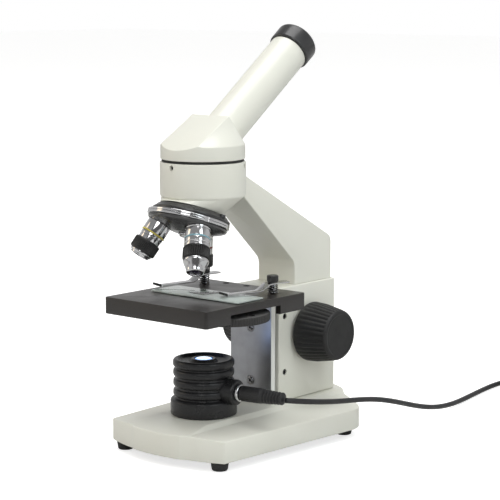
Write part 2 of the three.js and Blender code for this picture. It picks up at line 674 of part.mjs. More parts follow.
function addEyepiece() {
  const frame = tubeFrame();
  const lip = TUBE.end + GAP;
  const collar = [
    [9.2, 84], [EYEPIECE.barrel, 84], [EYEPIECE.barrel, lip], [EYEPIECE.radius - 0.3, lip],
    [EYEPIECE.radius, lip + 0.4], [EYEPIECE.radius, EYEPIECE.end - 1.6],
    [EYEPIECE.radius - 1.6, EYEPIECE.end], [9, EYEPIECE.end], [7.4, EYEPIECE.end - 3.4],
    [7.4, EYEPIECE.end - 5], [9.2, EYEPIECE.end - 5],
  ];
  addPart("eyepiece_barrel", placed(turnedRing(collar, 48), frame), BLACK, 0.45, 0.1);
  const top = EYEPIECE.end - 5.3;
  const lens = turned([[0, top - 4], [8.9, top - 4], [8.9, top - 1.2], [7, top - 0.5], [0, top]], 32);
  addPart("eye_lens", placed(lens, frame), GLASS, 0.03, 0);
}

// ---- nosepiece ----
// Heights on the turret's axis run down from its apex, so they are negative in its own frame.
function addNosepiece() {
  const { radius, inner, face, ring, bottom } = TURRET;
  const mountEdge = [[0, -34.5], [22.4, -34.5], [23.6, -35.4], [25.7, -face + GAP], [0, -face + GAP]];
  const mount = cut(
    turned(mountEdge, 56).translate([0, MOUNT_SETBACK, 0]),
    placed(rodZ(7, -60, 0, 0, 0, 24), new THREE.Matrix4().makeTranslation(0, lightOffset(36.5), 0)),
    rodZ(2 + GAP, -60, -36, 0, 0, 20),
  );
  addPart("nosepiece_mount", placed(mount, turretFrame()), BLACK, 0.4, 0.3);

  const group = new THREE.Group();
  group.position.z = TURRET_APEX_Z;
  group.rotation.x = -TURRET_TILT;
  microscope.add(group);
  const turning = new THREE.Group();
  turning.rotation.z = TURRET_TURN;
  group.add(turning);

  const flange = turnedRing([
    [inner, -face], [radius, -face], [radius, -face - ring], [inner, -face - ring],
  ], 64);
  const notches = OBJECTIVES.map(({ turn }) => placed(
    box(-1.5, 1.5, -radius - 1, -radius + 1.1, -face - ring - 1, -face + 1),
    new THREE.Matrix4().makeRotationZ(THREE.MathUtils.degToRad(turn + 60)),
  ));
  addPart("turret_ring", cut(flange, ...notches), CHROME, 0.12, 1, turning);

  const carrier = turned([
    [0, -face], [inner - GAP, -face], [inner - GAP, -face - ring - GAP],
    [26.4, -face - ring - GAP],
    [26.4, -45.4], [24.6, -46], [9, -bottom], [0, -bottom],
  ], 56);
  const seats = OBJECTIVES.flatMap(({ turn, radius: barrel }) => [
    placed(rodZ(barrel + 0.4, -70, -OBJECTIVE_SEAT + GAP, 0, 0, 32), objectiveFrame(turn)),
    placed(rodZ(6.2, -70, -30, 0, 0, 24), objectiveFrame(turn)),
  ]);
  const screwHole = rodZ(3.3, -60, -30, 0, 0, 20);
  addPart("turret_carrier", cut(carrier, screwHole, ...seats), SOFT_BLACK, 0.4, 0.4, turning);

  const screwTop = -bottom - GAP;
  const screwEnd = -bottom - 2.6;
  const pivot = join(
    turned([[0, screwEnd], [3.4, screwEnd], [4.6, screwEnd + 1], [4.6, screwTop], [0, screwTop]], 24),
    rodZ(3, -bottom - 1, -face - 0.1, 0, 0, 20),
    rodZ(2, -face - 1, -36.4, 0, 0, 20),
  );
  addPart("turret_screw", pivot, CHROME, 0.15, 1, turning);
  OBJECTIVES.forEach((lens) => addObjective(lens, turning));
}

// How far the optical axis lies from the turret's axis, at a height on the turret's axis.
function lightOffset(height) {
  return height * Math.tan(TURRET_TILT);
}

// From a lens's own frame, with its axis along Z, to the turret's. Turn 0 is the working lens.
function objectiveFrame(degrees) {
  const around = new THREE.Matrix4().makeRotationZ(THREE.MathUtils.degToRad(degrees));
  return around.multiply(new THREE.Matrix4().makeRotationX(TURRET_TILT));
}

function addObjective({ name, turn, radius, gripStart, gripEnd, tip, nose }, parent) {
  const bore = 4;
  const start = OBJECTIVE_SEAT;
  const body = cut(
    turned([
      [0, -start + 3], [5.8, -start + 3], [5.8, -start], [radius, -start],
      [radius, -gripStart], [radius + 0.5, -gripStart - 0.3], [radius + 0.5, -gripEnd],
      [radius - 0.6, -gripEnd - 0.4], [nose, -tip + 0.6], [nose - 0.6, -tip], [0, -tip],
    ], 40),
    rodZ(bore, -tip - 1, -start + 4, 0, 0, 24),
  );
  addPart(`${name}_barrel`, placed(body, objectiveFrame(turn)), CHROME, 0.15, 1, parent);
  const front = rodZ(bore - GAP, -tip + 0.8, -tip + 3, 0, 0, 24);
  addPart(`${name}_lens`, placed(front, objectiveFrame(turn)), GLASS, 0.03, 0, parent);
}

// ---- lamp ----
function addLamp() {
  const bottom = PLATFORM_Z + GAP;
  const profile = [[0, bottom], [LAMP.base - 0.6, bottom], [LAMP.base, bottom + 0.6]];
  profile.push([LAMP.base, LAMP.baseTop - 0.5], [LAMP.base - 1, LAMP.baseTop]);
  profile.push([LAMP.groove, LAMP.baseTop + 0.4]);
  for (const middle of [39.6, 46.6, 53.6]) {
    profile.push([LAMP.groove, middle - 2.6], [LAMP.rib, middle - 1.3]);
    profile.push([LAMP.rib, middle + 1.3], [LAMP.groove, middle + 2.6]);
  }
  profile.push([LAMP.groove, 57.4], [LAMP.rib, 58.2], [LAMP.rib, 61.6], [LAMP.rib - 0.9, LAMP.top]);
  profile.push([17.4, LAMP.top], [15.6, 60.6], [8.6, 60], [8.2, LAMP.top - 0.2]);
  profile.push([0, LAMP.top - 0.2]);
  const body = turned(profile, 56);
  const lensSeat = join(rodZ(5.9, 59, 70, 0, 0, 32), rodZ(5.2, 40, 70, 0, 0, 32));
  const boss = jackPiece(rodX(8.6, 12, 27, 0, JACK_Z, 32));
  const chamber = join(rodZ(14, 44, 56, 0, 0, 40), rodZ(5.2, 40, 60, 0, 0, 32));
  const socket = jackPiece(join(rodX(4, 6, 30, 0, JACK_Z, 24), rodX(3, 0, 10, 0, JACK_Z + 3, 16)));
  addPart("lamp_body", cut(join(body, boss), lensSeat, chamber, socket), BLACK, 0.4, 0.2);

  const lens = turned([[0, 59.6], [5.6, 59.6], [5.6, 62], [4.6, 62.8], [0, 63.6]], 32);
  addPart("lamp_lens", lens, GLASS, 0.1, 0);
  const board = join(rodZ(4.8, 50, 51.6, 0, 0, 24), rodZ(2.2, 51, 53.4, 0, 0, 16));
  addPart("led_board", board, CHROME, 0.4, 0);

  const nut = jackPiece(cut(
    rodX(5.9, 27 + GAP, 29.6, 0, JACK_Z, 12),
    rodX(3.2, 20, 40, 0, JACK_Z, 24),
  ));
  addPart("jack_nut", nut, CHROME, 0.15, 1);
}

// Turns a piece made along X to the jack's direction.
function jackPiece(shape) {
  return placed(shape, new THREE.Matrix4().makeRotationZ(JACK_TURN));
}

// ---- cord, plug and adapter ----
function addCord() {
  const plug = join(
    rodX(2.6, 18, 31, 0, JACK_Z, 20),
    rodX(5.1, 30, 46, 0, JACK_Z, 24),
    rodX(4.7, 45, 54, 0, JACK_Z, 24),
    rodX(4.2, 53, 61.6, 0, JACK_Z, 20),
  );
  addPart("cord_plug", jackPiece(plug), BLACK, 0.5, 0);

  const route = CORD_ROUTE.map(([x, y, z]) => new THREE.Vector3(x, y, z));
  addPart("cord_run", tube(route, CORD_DIAMETER / 2, 44, 8), BLACK, 0.55, 0);

  const { middle, half, height } = COIL;
  const [inside, outside, round] = [middle - half, middle + half, 1.4];
  const ring = turnedRing([
    [inside, round], [inside + round, 0.1], [outside - round, 0.1], [outside, round],
    [outside, height - round], [outside - round, height], [inside + round, height],
    [inside, height - round],
  ], 40);
  addPart("cord_coil", ring.translate([COIL.x, COIL.y, 0]), BLACK, 0.55, 0);

  const { x, y, long, wide, high } = ADAPTER;
  const body = new THREE.ExtrudeGeometry(
    roundedPolygon([
      [-wide / 2 + 0.5, 0.5, 4], [wide / 2 - 0.5, 0.5, 4],
      [wide / 2 - 0.5, high - 0.5, 4], [-wide / 2 + 0.5, high - 0.5, 4],
    ]),
    {
      depth: long - 1, curveSegments: 4,
      bevelEnabled: true, bevelThickness: 0.5, bevelSize: 0.5, bevelSegments: 1,
    },
  );
  body.rotateX(Math.PI / 2);
  body.translate(x, y + long / 2 - 0.5, 0.05);
  const pins = [-6.35, 6.35].map((side) => box(
    x + side - 0.75, x + side + 0.75, y - long / 2 - 15.8, y - long / 2 + 2, 10.8, 17.2,
  ));
  const relief = rodY(3.4, y + long / 2 - 1, y + long / 2 + 9, x, 8, 20);
  addPart("mains_adapter", join(solid(body), ...pins, relief), BLACK, 0.5, 0);
}

addBase();
addHousing();
addBracket();
addStage();
addDiaphragm();
addClips();
addSpecimen();
addArm();
addRack();
addPinion();
addKnobs();
addHead();
addEyepiece();
addNosepiece();
addLamp();
addCord();

export default microscope;
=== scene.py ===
"""A student's monocular microscope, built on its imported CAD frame.

Shapes are written in millimetres from the optical axis: X to the right, Y from the front to the
arm, Z up from the table. settle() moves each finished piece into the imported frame, in metres.
"""
import math

import bmesh
import bpy
from mathutils import Matrix, Vector


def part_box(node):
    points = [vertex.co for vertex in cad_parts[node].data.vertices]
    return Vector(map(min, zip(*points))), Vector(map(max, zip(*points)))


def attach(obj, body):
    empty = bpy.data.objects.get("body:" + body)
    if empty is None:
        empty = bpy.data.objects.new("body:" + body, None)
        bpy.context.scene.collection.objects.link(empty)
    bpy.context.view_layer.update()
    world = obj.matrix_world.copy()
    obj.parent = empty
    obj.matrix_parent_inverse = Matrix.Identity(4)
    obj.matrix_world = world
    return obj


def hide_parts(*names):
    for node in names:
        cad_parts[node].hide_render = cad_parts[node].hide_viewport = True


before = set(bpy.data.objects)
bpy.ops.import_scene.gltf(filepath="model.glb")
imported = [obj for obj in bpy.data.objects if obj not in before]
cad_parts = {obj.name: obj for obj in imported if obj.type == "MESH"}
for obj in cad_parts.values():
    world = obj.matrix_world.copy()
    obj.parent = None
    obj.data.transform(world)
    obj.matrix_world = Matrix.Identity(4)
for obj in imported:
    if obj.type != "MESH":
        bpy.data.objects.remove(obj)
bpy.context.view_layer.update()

MILLIMETRE = 0.001
# The optical axis runs through the middle of the head's bearing ring.
ring_low, ring_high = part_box("head_bearing_ring")
AXIS_Y = (ring_low[1] + ring_high[1]) / 2

# ---- driving dimensions, in millimetres, as the CAD has them ----
FEET_HEIGHT = 5.8
PLATFORM_Z = 25.0
PLATFORM_HALF = 23.5
HOUSING = dict(half=19.0, front=55.3, rear=117.5, top=104.0)
ARM = dict(half=16.4, front=75.3, rear=115.3)
SHAFT = dict(y=87.5, z=70.5)
STAGE_TOP = 104.8
STAGE_BOTTOM = 93.6
PLATE_BOTTOM = 99.6
DISC = dict(x=21.5, y=-1.0, radius=28.3, bottom=91.0, top=96.3)
CLIP_POST = dict(x=30.4, y=34.8)
BRACKET_SCREW_HEIGHTS = (39.5, 76.5)
SET_SCREW_HEIGHTS = (45.5, 84)
SET_SCREW_Y = 61.6
DRUM_TOP = 193.4
HEAD_RADIUS = 27.7
HEAD_BOTTOM = 195.2
HEAD_SHOULDER = 204.4
HEAD_SCREW_Z = 190.6
HEAD_SCREW_DEGREES = (-94, 26, 146)
TUBE_TILT = math.radians(53.5)
TUBE_ORIGIN_Z = 197.3
TURRET_TILT = math.radians(20)
TURRET_TURN = math.radians(7.5)
APEX_Z = 195.2
MOUNT_SETBACK = 1.8
JACK_TURN = math.radians(9.1)
JACK_Z = 42.0
CORD_DIAMETER = 3.6
COIL = dict(x=70.0, y=322.0, radius=20.0)
ADAPTER = dict(x=116.0, y=284.0, long=62.0, wide=36.0, high=28.0)

CORD_ROUTE = [
    (62.4, 10.0, 41.2), (65.5, 15.5, 40.3), (68.0, 25, 38.6), (69.8, 38, 36.4), (70.6, 54, 34.0),
    (70.6, 72, 31.9), (70.0, 92, 29.0), (69.0, 112, 24.5), (67.6, 132, 18.6), (65.6, 152, 12.6),
    (63.0, 172, 7.6), (60.0, 192, 4.2), (56.4, 212, 2.4), (52.6, 232, 1.9), (48.8, 252, 1.9),
    (45.4, 271, 1.9), (43.4, 288, 1.9), (43.6, 300, 1.9), (45.2, 309, 1.9),
]


def packed(x, y, z):
    """A point of the microscope's own millimetre frame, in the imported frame's metres."""
    return Vector((x * MILLIMETRE, y * MILLIMETRE + AXIS_Y, z * MILLIMETRE))


# ---- camera ----
def add_camera():
    data = bpy.data.cameras.new("camera")
    data.lens = 128.8
    data.sensor_width = 36.0
    camera = bpy.data.objects.new("camera", data)
    bpy.context.scene.collection.objects.link(camera)
    camera.location = packed(780.03, -863.17, 304.58)
    camera.rotation_euler = (math.radians(81.69), 0, math.radians(40.59))
    bpy.context.scene.camera = camera


add_camera()


# ---- node materials ----
class Look:
    """A node material, with one method for each kind of surface detail."""

    def __init__(self, name, colour, roughness, metallic=0.0):
        self.material = bpy.data.materials.new(name)
        self.material.use_nodes = True
        self.tree = self.material.node_tree
        self.shader = self.tree.nodes["Principled BSDF"]
        self.colour = (*colour, 1)
        self.shader.inputs["Base Color"].default_value = self.colour
        self.shader.inputs["Roughness"].default_value = roughness
        self.shader.inputs["Metallic"].default_value = metallic
        self.coordinates = self.tree.nodes.new("ShaderNodeTexCoord").outputs["Object"]
        self.colour_link = None
        self.height = None

    def node(self, kind, **values):
        made = self.tree.nodes.new(kind)
        for key, value in values.items():
            made.inputs[key.replace("_", " ")].default_value = value
        return made

    def link(self, a, b):
        self.tree.links.new(a, b)

    def noise(self, scale, detail=4.0, stretch=None):
        noise = self.node("ShaderNodeTexNoise", Scale=scale, Detail=detail)
        where = self.coordinates
        if stretch:
            mapping = self.node("ShaderNodeMapping", Scale=stretch)
            self.link(where, mapping.inputs["Vector"])
            where = mapping.outputs["Vector"]
        self.link(where, noise.inputs["Vector"])
        return noise.outputs["Fac"]

    def spread(self, factor, low, high, start=0.3, end=0.7):
        """Maps a 0 to 1 factor to a range of values."""
        ranged = self.tree.nodes.new("ShaderNodeMapRange")
        self.link(factor, ranged.inputs["Value"])
        ranged.inputs["From Min"].default_value = start
        ranged.inputs["From Max"].default_value = end
        ranged.inputs["To Min"].default_value = low
        ranged.inputs["To Max"].default_value = high
        return ranged.outputs["Result"]

    def tint(self, factor, other, amount):
        """Mixes another colour in, where the factor is high."""
        mix = self.tree.nodes.new("ShaderNodeMix")
        mix.data_type = "RGBA"
        share = self.tree.nodes.new("ShaderNodeMath")
        share.operation = "MULTIPLY"
        self.link(factor, share.inputs[0])
        share.inputs[1].default_value = amount
        self.link(share.outputs[0], mix.inputs["Factor"])
        if self.colour_link:
            self.link(self.colour_link, mix.inputs["A"])
        else:
            mix.inputs["A"].default_value = self.colour
        mix.inputs["B"].default_value = (*other, 1)
        self.colour_link = mix.outputs["Result"]
        self.link(self.colour_link, self.shader.inputs["Base Color"])
        return self

    def rough(self, factor, low, high):
        self.link(self.spread(factor, low, high), self.shader.inputs["Roughness"])
        return self

    def bump(self, factor, strength, distance):
        node = self.node("ShaderNodeBump", Strength=strength, Distance=distance)
        self.link(factor, node.inputs["Height"])
        if self.height:
            self.link(self.height, node.inputs["Normal"])
        self.height = node.outputs["Normal"]
        self.link(self.height, self.shader.inputs["Normal"])
        return self

    def facing(self, axis, start, end):
        """A mask of the faces that look along an axis of the object, either way."""
        parts = self.tree.nodes.new("ShaderNodeSeparateXYZ")
        self.link(self.tree.nodes.new("ShaderNodeTexCoord").outputs["Normal"], parts.inputs[0])
        size = self.tree.nodes.new("ShaderNodeMath")
        size.operation = "ABSOLUTE"
        self.link(parts.outputs[axis], size.inputs[0])
        return self.spread(size.outputs[0], 0, 1, start, end)

    def set(self, **values):
        for key, value in values.items():
            self.shader.inputs[key.replace("_", " ")].default_value = value
        return self


def enamel(name, colour, shade, roughness, grain=900, strength=0.12):
    """Sprayed enamel: a fine orange peel, faint drifts of colour, and uneven gloss."""
    look = Look(name, colour, roughness)
    broad = look.noise(18, 3)
    peel = look.noise(grain, 2)
    speck = look.noise(grain * 3.1, 1)
    look.tint(look.spread(broad, 0, 1), shade, 0.5)
    look.tint(look.spread(speck, 0, 1, 0.66, 0.72), shade, 0.35)
    look.rough(look.noise(70, 4), roughness - 0.05, roughness + 0.07)
    look.bump(peel, strength, 0.0004)
    look.set(Coat_Weight=0.25, Coat_Roughness=0.22, Specular_IOR_Level=0.45)
    return look.material


def metal(name, colour, roughness, lines=(60, 60, 3200), scratch=0.05):
    """Turned or drawn metal: fine lines in the bump and in the gloss, and small stains."""
    look = Look(name, colour, roughness, 1.0)
    turned = look.noise(1.0, 2, lines)
    look.rough(look.noise(240, 4), max(roughness - 0.03, 0.02), roughness + 0.08)
    look.tint(look.spread(look.noise(130, 5), 0, 1), [c * 0.8 for c in colour], 0.6)
    look.bump(turned, scratch, 0.0002)
    return look.material


def painted_highlight_satin(name, colour, bright, roughness):
    """Satin metal with fine lines across it, whose two ends carry a painted highlight: a pale, non-metal
    colour.
    """
    look = Look(name, colour, roughness, 1.0)
    ends = look.facing("X", 0.8, 0.92)
    look.rough(look.noise(240, 4), roughness - 0.03, roughness + 0.08)
    look.tint(look.spread(look.noise(130, 5), 0, 1), [c * 0.8 for c in colour], 0.6)
    # Painted highlight: the faces that look along X turn pale and non-metal, standing in for their
    # brightly lit look.
    look.tint(ends, bright, 1.0)
    look.link(look.spread(ends, 1, 0, 0, 1), look.shader.inputs["Metallic"])
    look.bump(look.noise(1.0, 2, (2400, 40, 40)), 0.08, 0.0002)
    return look.material


def painted_light_faces(name, colour, pale, roughness):
    """Dark anodised metal whose two flat faces are painted paler than its rim: painted light where the
    stage shades them.
    """
    look = Look(name, colour, roughness)
    look.rough(look.noise(95, 4), roughness - 0.05, roughness + 0.08)
    look.tint(look.spread(look.noise(42, 4), 0, 1), [c * 1.6 for c in colour], 0.4)
    # Painted light: the faces that look along Z are lightened, standing in for light that the stage's
    # shade keeps off them.
    look.tint(look.facing("Z", 0.8, 0.92), pale, 1.0)
    look.bump(look.noise(1500, 3), 0.15, 0.0003)
    return look.material


def moulded(name, colour, roughness, grain, strength, dust=0.25):
    """Moulded plastic or rubber: a fine spark-eroded grain and a little dust in random patches."""
    look = Look(name, colour, roughness)
    fine = look.noise(grain, 3)
    look.tint(look.spread(look.noise(42, 4), 0, 1), [min(c * 1.7 + 0.012, 1) for c in colour], dust)
    look.tint(look.spread(look.noise(grain * 1.7, 1), 0, 1, 0.64, 0.7), (0.16, 0.155, 0.15), 0.25)
    look.rough(look.noise(95, 4), roughness - 0.05, roughness + 0.08)
    look.bump(fine, strength, 0.0003)
    look.set(Specular_IOR_Level=0.36)
    return look.material


def glass(name, colour, roughness=0.02, through=1.0):
    look = Look(name, colour, roughness)
    look.rough(look.noise(85, 5), max(roughness - 0.01, 0.0), roughness + 0.05)
    look.tint(look.spread(look.noise(33, 3), 0, 1), [c * 0.94 for c in colour], 0.5)
    look.set(Transmission_Weight=through, IOR=1.5)
    return look.material


IVORY = enamel("ivory_enamel", (0.80, 0.80, 0.72), (0.75, 0.74, 0.65), 0.34)
STAGE_BLACK = enamel(
    "stage_black_enamel", (0.013, 0.011, 0.010), (0.026, 0.021, 0.018), 0.34, 1500, 0.2
)
BLACK_ENAMEL = enamel(
    "satin_black_enamel", (0.022, 0.022, 0.023), (0.036, 0.035, 0.034), 0.3, 1200, 0.15
)
BRACKET_GREY = painted_highlight_satin("satin_bracket", (0.36, 0.37, 0.40), (0.86, 0.87, 0.83), 0.4)
CHROME = metal("bright_chrome", (0.66, 0.66, 0.67), 0.06, (50, 50, 2600), 0.04)
CLIP_CHROME = metal("clip_chrome", (0.62, 0.62, 0.63), 0.08, (40, 900, 900), 0.05)
STEEL = metal("turned_steel", (0.56, 0.56, 0.57), 0.24)
DARK_STEEL = metal("dark_steel", (0.22, 0.22, 0.23), 0.18)
BRASS = metal("turned_brass", (0.70, 0.52, 0.24), 0.3)
WHEEL_GREY = painted_light_faces("wheel_grey", (0.022, 0.021, 0.020), (0.085, 0.083, 0.08), 0.5)
TURRET_GREY = enamel(
    "turret_enamel", (0.050, 0.050, 0.051), (0.066, 0.065, 0.064), 0.24, 1400, 0.1
)
KNOB_BLACK = moulded("knob_black", (0.013, 0.013, 0.013), 0.46, 1900, 0.25, 0.15)
LAMP_BLACK = moulded("lamp_black", (0.013, 0.013, 0.014), 0.3, 1400, 0.03, 0.06)
SOCKET_BLACK = moulded("socket_screw_black", (0.014, 0.014, 0.015), 0.4, 2500, 0.2)
CORD_BLACK = moulded("cord_sheath", (0.018, 0.018, 0.019), 0.42, 2600, 0.22)
ADAPTER_BLACK = moulded("adapter_shell", (0.020, 0.020, 0.022), 0.46, 2300, 0.35)
# Rubber black for the feet and the bearing seam; on the clip tips the same black is painted shade.
RUBBER_AND_SHADE = moulded("foot_rubber_and_shade", (0.020, 0.020, 0.020), 0.66, 1300, 0.4)
YELLOW = moulded("yellow_band", (0.60, 0.50, 0.11), 0.3, 1600, 0.06, 0.1)
BLUE = moulded("blue_band", (0.22, 0.40, 0.46), 0.3, 1600, 0.06, 0.1)
RED = moulded("red_band", (0.20, 0.04, 0.03), 0.3, 1600, 0.06, 0.1)
CLEAR_GLASS = glass("clear_glass", (0.93, 0.98, 0.96))
SLIDE_GLASS = glass("slide_glass", (0.80, 0.88, 0.84), 0.02, 0.5)
DARK_GLASS = glass("coated_lens", (0.30, 0.27, 0.42), 0.03)
BOARD = moulded("board_white", (0.80, 0.81, 0.80), 0.4, 900, 0.1, 0.1)


# ---- mesh helpers, in millimetres ----
def arc_corner(before, here, after, radius, steps=4):
    """The points that round a corner off, from one side of it to the other."""
    before, here, after = Vector(before), Vector(here), Vector(after)
    reach = min(radius, 0.48 * (before - here).length, 0.48 * (after - here).length)
    start = here + (before - here).normalized() * reach
    end = here + (after - here).normalized() * reach
    points = []
    for i in range(steps + 1):
        t = i / steps
        points.append(start * (1 - t) ** 2 + here * (2 * t * (1 - t)) + end * t ** 2)
    return points


def rounded(points, closed=True, steps=4):
    """An outline whose points are (a, b) for a sharp corner or (a, b, radius) for a round one."""
    outline = []
    count = len(points)
    for i, point in enumerate(points):
        here = point[:2]
        at_end = not closed and i in (0, count - 1)
        if len(point) < 3 or point[2] <= 0 or at_end:
            outline.append(Vector(here))
            continue
        before = points[i - 1][:2]
        after = points[(i + 1) % count][:2]
        outline += arc_corner(before, here, after, point[2], steps)
    return outline


def mesh_object(name, vertices, faces):
    mesh = bpy.data.meshes.new(name)
    mesh.from_pydata([tuple(v) for v in vertices], [], faces)
    mesh.update()
    made = bpy.data.objects.new(name, mesh)
    bpy.context.scene.collection.objects.link(made)
    return made


def repair(made, bevel=0.0, angle=30, segments=3):
    """Merges doubled points, turns the faces outward, and rounds the sharp edges off."""
    bm = bmesh.new()
    bm.from_mesh(made.data)
    bmesh.ops.remove_doubles(bm, verts=bm.verts, dist=1e-4)
    bmesh.ops.recalc_face_normals(bm, faces=bm.faces)
    if bevel:
        limit = math.radians(angle)
        edges = [e for e in bm.edges if len(e.link_faces) == 2 and e.calc_face_angle(0) > limit]
        bmesh.ops.bevel(
            bm, geom=edges, offset=bevel, segments=segments, profile=0.5,
            affect="EDGES", clamp_overlap=True,
        )
    bm.to_mesh(made.data)
    bm.free()
    return made


def weld(made, place, reach):
    """Draws the corners near a place together, where faces meet in a sliver."""
    bm = bmesh.new()
    bm.from_mesh(made.data)
    near = [v for v in bm.verts if (v.co - Vector(place)).length < reach]
    bmesh.ops.pointmerge(bm, verts=near, merge_co=place)
    bm.to_mesh(made.data)
    bm.free()


def wrapped(rows, sides):
    """The faces that join rows of points, where each row goes all the way round."""
    faces = []
    for i in range(rows - 1):
        for k in range(sides):
            a, b = i * sides + k, i * sides + (k + 1) % sides
            faces.append((a, b, b + sides, a + sides))
    return faces


def lathe(profile, sides=96, name="turned", flutes=None):
    """A turned piece about Z from (r, z) or (r, z, rounding) points, closed where it meets the axis.

    flutes is (count, depth, lowest z, highest z) of the grooves that run along part of it.
    """
    outline = rounded(profile, closed=False, steps=3)
    if flutes:
        sides = flutes[0] * 6
    vertices = []
    for r, z in outline:
        grooved = flutes and flutes[2] <= z <= flutes[3]
        for k in range(sides):
            turn = 2 * math.pi * k / sides
            depth = flutes[1] * (0.5 - 0.5 * math.cos(flutes[0] * turn)) ** 1.5 if grooved else 0
            reach = max(r - depth, 0)
            vertices.append((reach * math.cos(turn), reach * math.sin(turn), z))
    faces = wrapped(len(outline), sides)
    return repair(mesh_object(name, vertices, faces))


def ring(profile, sides=96, name="ring"):
    """A turned ring, whose section closes on itself."""
    outline = rounded(profile, closed=True, steps=3)
    points = [tuple(p) for p in outline] + [tuple(outline[0])]
    return lathe(points, sides, name)


def slab(outline, z0, z1, bevel=0.0, name="slab"):
    """A plate whose outline is in X and Y."""
    flat = [tuple(p[:2]) for p in outline]
    count = len(flat)
    vertices = [(a, b, z0) for a, b in flat] + [(a, b, z1) for a, b in flat]
    faces = [tuple(range(count)), tuple(range(count, 2 * count))]
    for i in range(count):
        j = (i + 1) % count
        faces.append((i, j, count + j, count + i))
    return repair(mesh_object(name, vertices, faces), bevel)


def side_slab(outline, x0, x1, bevel=0.0, name="side"):
    """A body whose outline is in Y and Z, and which runs along X."""
    made = slab(outline, x0, x1, bevel, name)
    made.data.transform(Matrix(((0, 0, 1, 0), (1, 0, 0, 0), (0, 1, 0, 0), (0, 0, 0, 1))))
    return made


def block(x0, x1, y0, y1, z0, z1, bevel=0.0, name="block"):
    return slab([(x0, y0), (x1, y0), (x1, y1), (x0, y1)], z0, z1, bevel, name)


def rod(radius, z0, z1, sides=48, edge=0.0, name="rod"):
    """A round bar along Z, with its two rims rounded."""
    return lathe([(0, z0), (radius, z0, edge), (radius, z1, edge), (0, z1)], sides, name)


def moved(made, matrix):
    made.data.transform(matrix)
    return made


def spun(made, degrees):
    """Turns a piece about the vertical axis."""
    return moved(made, Matrix.Rotation(math.radians(degrees), 4, "Z"))


def shift(made, x, y, z=0.0):
    return moved(made, Matrix.Translation((x, y, z)))


def along_x(made, y, z, turn=0.0):
    """Lays a piece made along Z along +X, at a height, then turns it about the vertical axis."""
    lay = Matrix.Rotation(math.radians(90), 4, "Y")
    return moved(made, Matrix.Rotation(turn, 4, "Z") @ Matrix.Translation((0, y, z)) @ lay)


def along_y(made, x, z):
    """Lays a piece made along Z along +Y."""
    lay = Matrix.Rotation(math.radians(-90), 4, "X")
    return moved(made, Matrix.Translation((x, 0, z)) @ lay)


def boolean(made, kind, *tools):
    """Adds or cuts tools, and takes them away."""
    for tool in tools:
        step = made.modifiers.new("step", "BOOLEAN")
        step.operation = kind
        step.solver = "EXACT"
        step.object = tool
    bpy.context.view_layer.update()
    shaped = made.evaluated_get(bpy.context.evaluated_depsgraph_get())
    result = bpy.data.meshes.new_from_object(shaped)
    made.modifiers.clear()
    made.data = result
    for tool in tools:
        bpy.data.objects.remove(tool)
    return made


def cut(made, *tools):
    return boolean(made, "DIFFERENCE", *tools)


def fuse(made, *tools):
    return boolean(made, "UNION", *tools)


def gather(first, *rest):
    """Puts loose shells of one material into one mesh."""
    bm = bmesh.new()
    for part in (first, *rest):
        bm.from_mesh(part.data)
    bm.to_mesh(first.data)
    bm.free()
    for part in rest:
        bpy.data.objects.remove(part)
    return first


def settle(made, name, body, look, nodes=(), smooth=32):
    """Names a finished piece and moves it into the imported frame, on its body."""
    made.name = name
    made.data.name = name
    frame_shift = Matrix.Translation((0, AXIS_Y, 0)) @ Matrix.Scale(MILLIMETRE, 4)
    made.data.transform(frame_shift)
    made.data.materials.clear()
    made.data.materials.append(look)
    made.data.polygons.foreach_set("use_smooth", [True] * len(made.data.polygons))
    made.data.set_sharp_from_angle(angle=math.radians(smooth))
    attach(made, body)
    if nodes:
        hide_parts(*nodes)
    return made


def drawn_tube(points, radius, name, sides=16):
    """A round bar that follows points, without twisting."""
    points = [Vector(p) for p in points]
    vertices = []
    normal = None
    for i, here in enumerate(points):
        before = points[max(i - 1, 0)]
        after = points[min(i + 1, len(points) - 1)]
        way = (after - before).normalized()
        if normal is None:
            normal = way.orthogonal().normalized()
        normal = (normal - way * normal.dot(way)).normalized()
        side = way.cross(normal)
        for k in range(sides):
            turn = 2 * math.pi * k / sides
            vertices.append(here + normal * radius * math.cos(turn) + side * radius * math.sin(turn))
    faces = wrapped(len(points), sides)
    last = (len(points) - 1) * sides
    faces.append(tuple(range(sides)))
    faces.append(tuple(range(last, last + sides)))
    return repair(mesh_object(name, vertices, faces))


# ---- the free cord, its coil, plug and adapter ----
def coil_points():
    """Nine turns in three layers, wound so that the last one lies outside at the top."""
    step = CORD_DIAMETER + 0.03
    low = CORD_DIAMETER / 2 + 0.1
    order = [(1, 0), (0, 0), (-1, 0), (-1, 1), (-1, 2), (0, 2), (0, 1), (1, 1), (1, 2)]
    per_turn = 16
    start = math.radians(176)

    def point(turns, lane, level):
        angle = start - 2 * math.pi * turns
        radius = COIL["radius"] + step * lane
        return (
            COIL["x"] + radius * math.cos(angle),
            COIL["y"] + radius * math.sin(angle),
            low + step * level,
        )

    points = []
    for turn, (column, layer) in enumerate(order):
        target = order[min(turn + 1, len(order) - 1)]
        for k in range(per_turn):
            # The cord changes over to its next lane in the last third of a turn.
            ease = max(0.0, (k / per_turn - 0.68) / 0.32)
            ease = ease * ease * (3 - 2 * ease)
            lane = column + (target[0] - column) * ease
            level = layer + (target[1] - layer) * ease
            points.append(point(turn + k / per_turn, lane, level))
    # The last quarter turn brings the tail round to the adapter's side.
    points += [point(k / per_turn, 1, 2) for k in range(1, 5)]
    return points


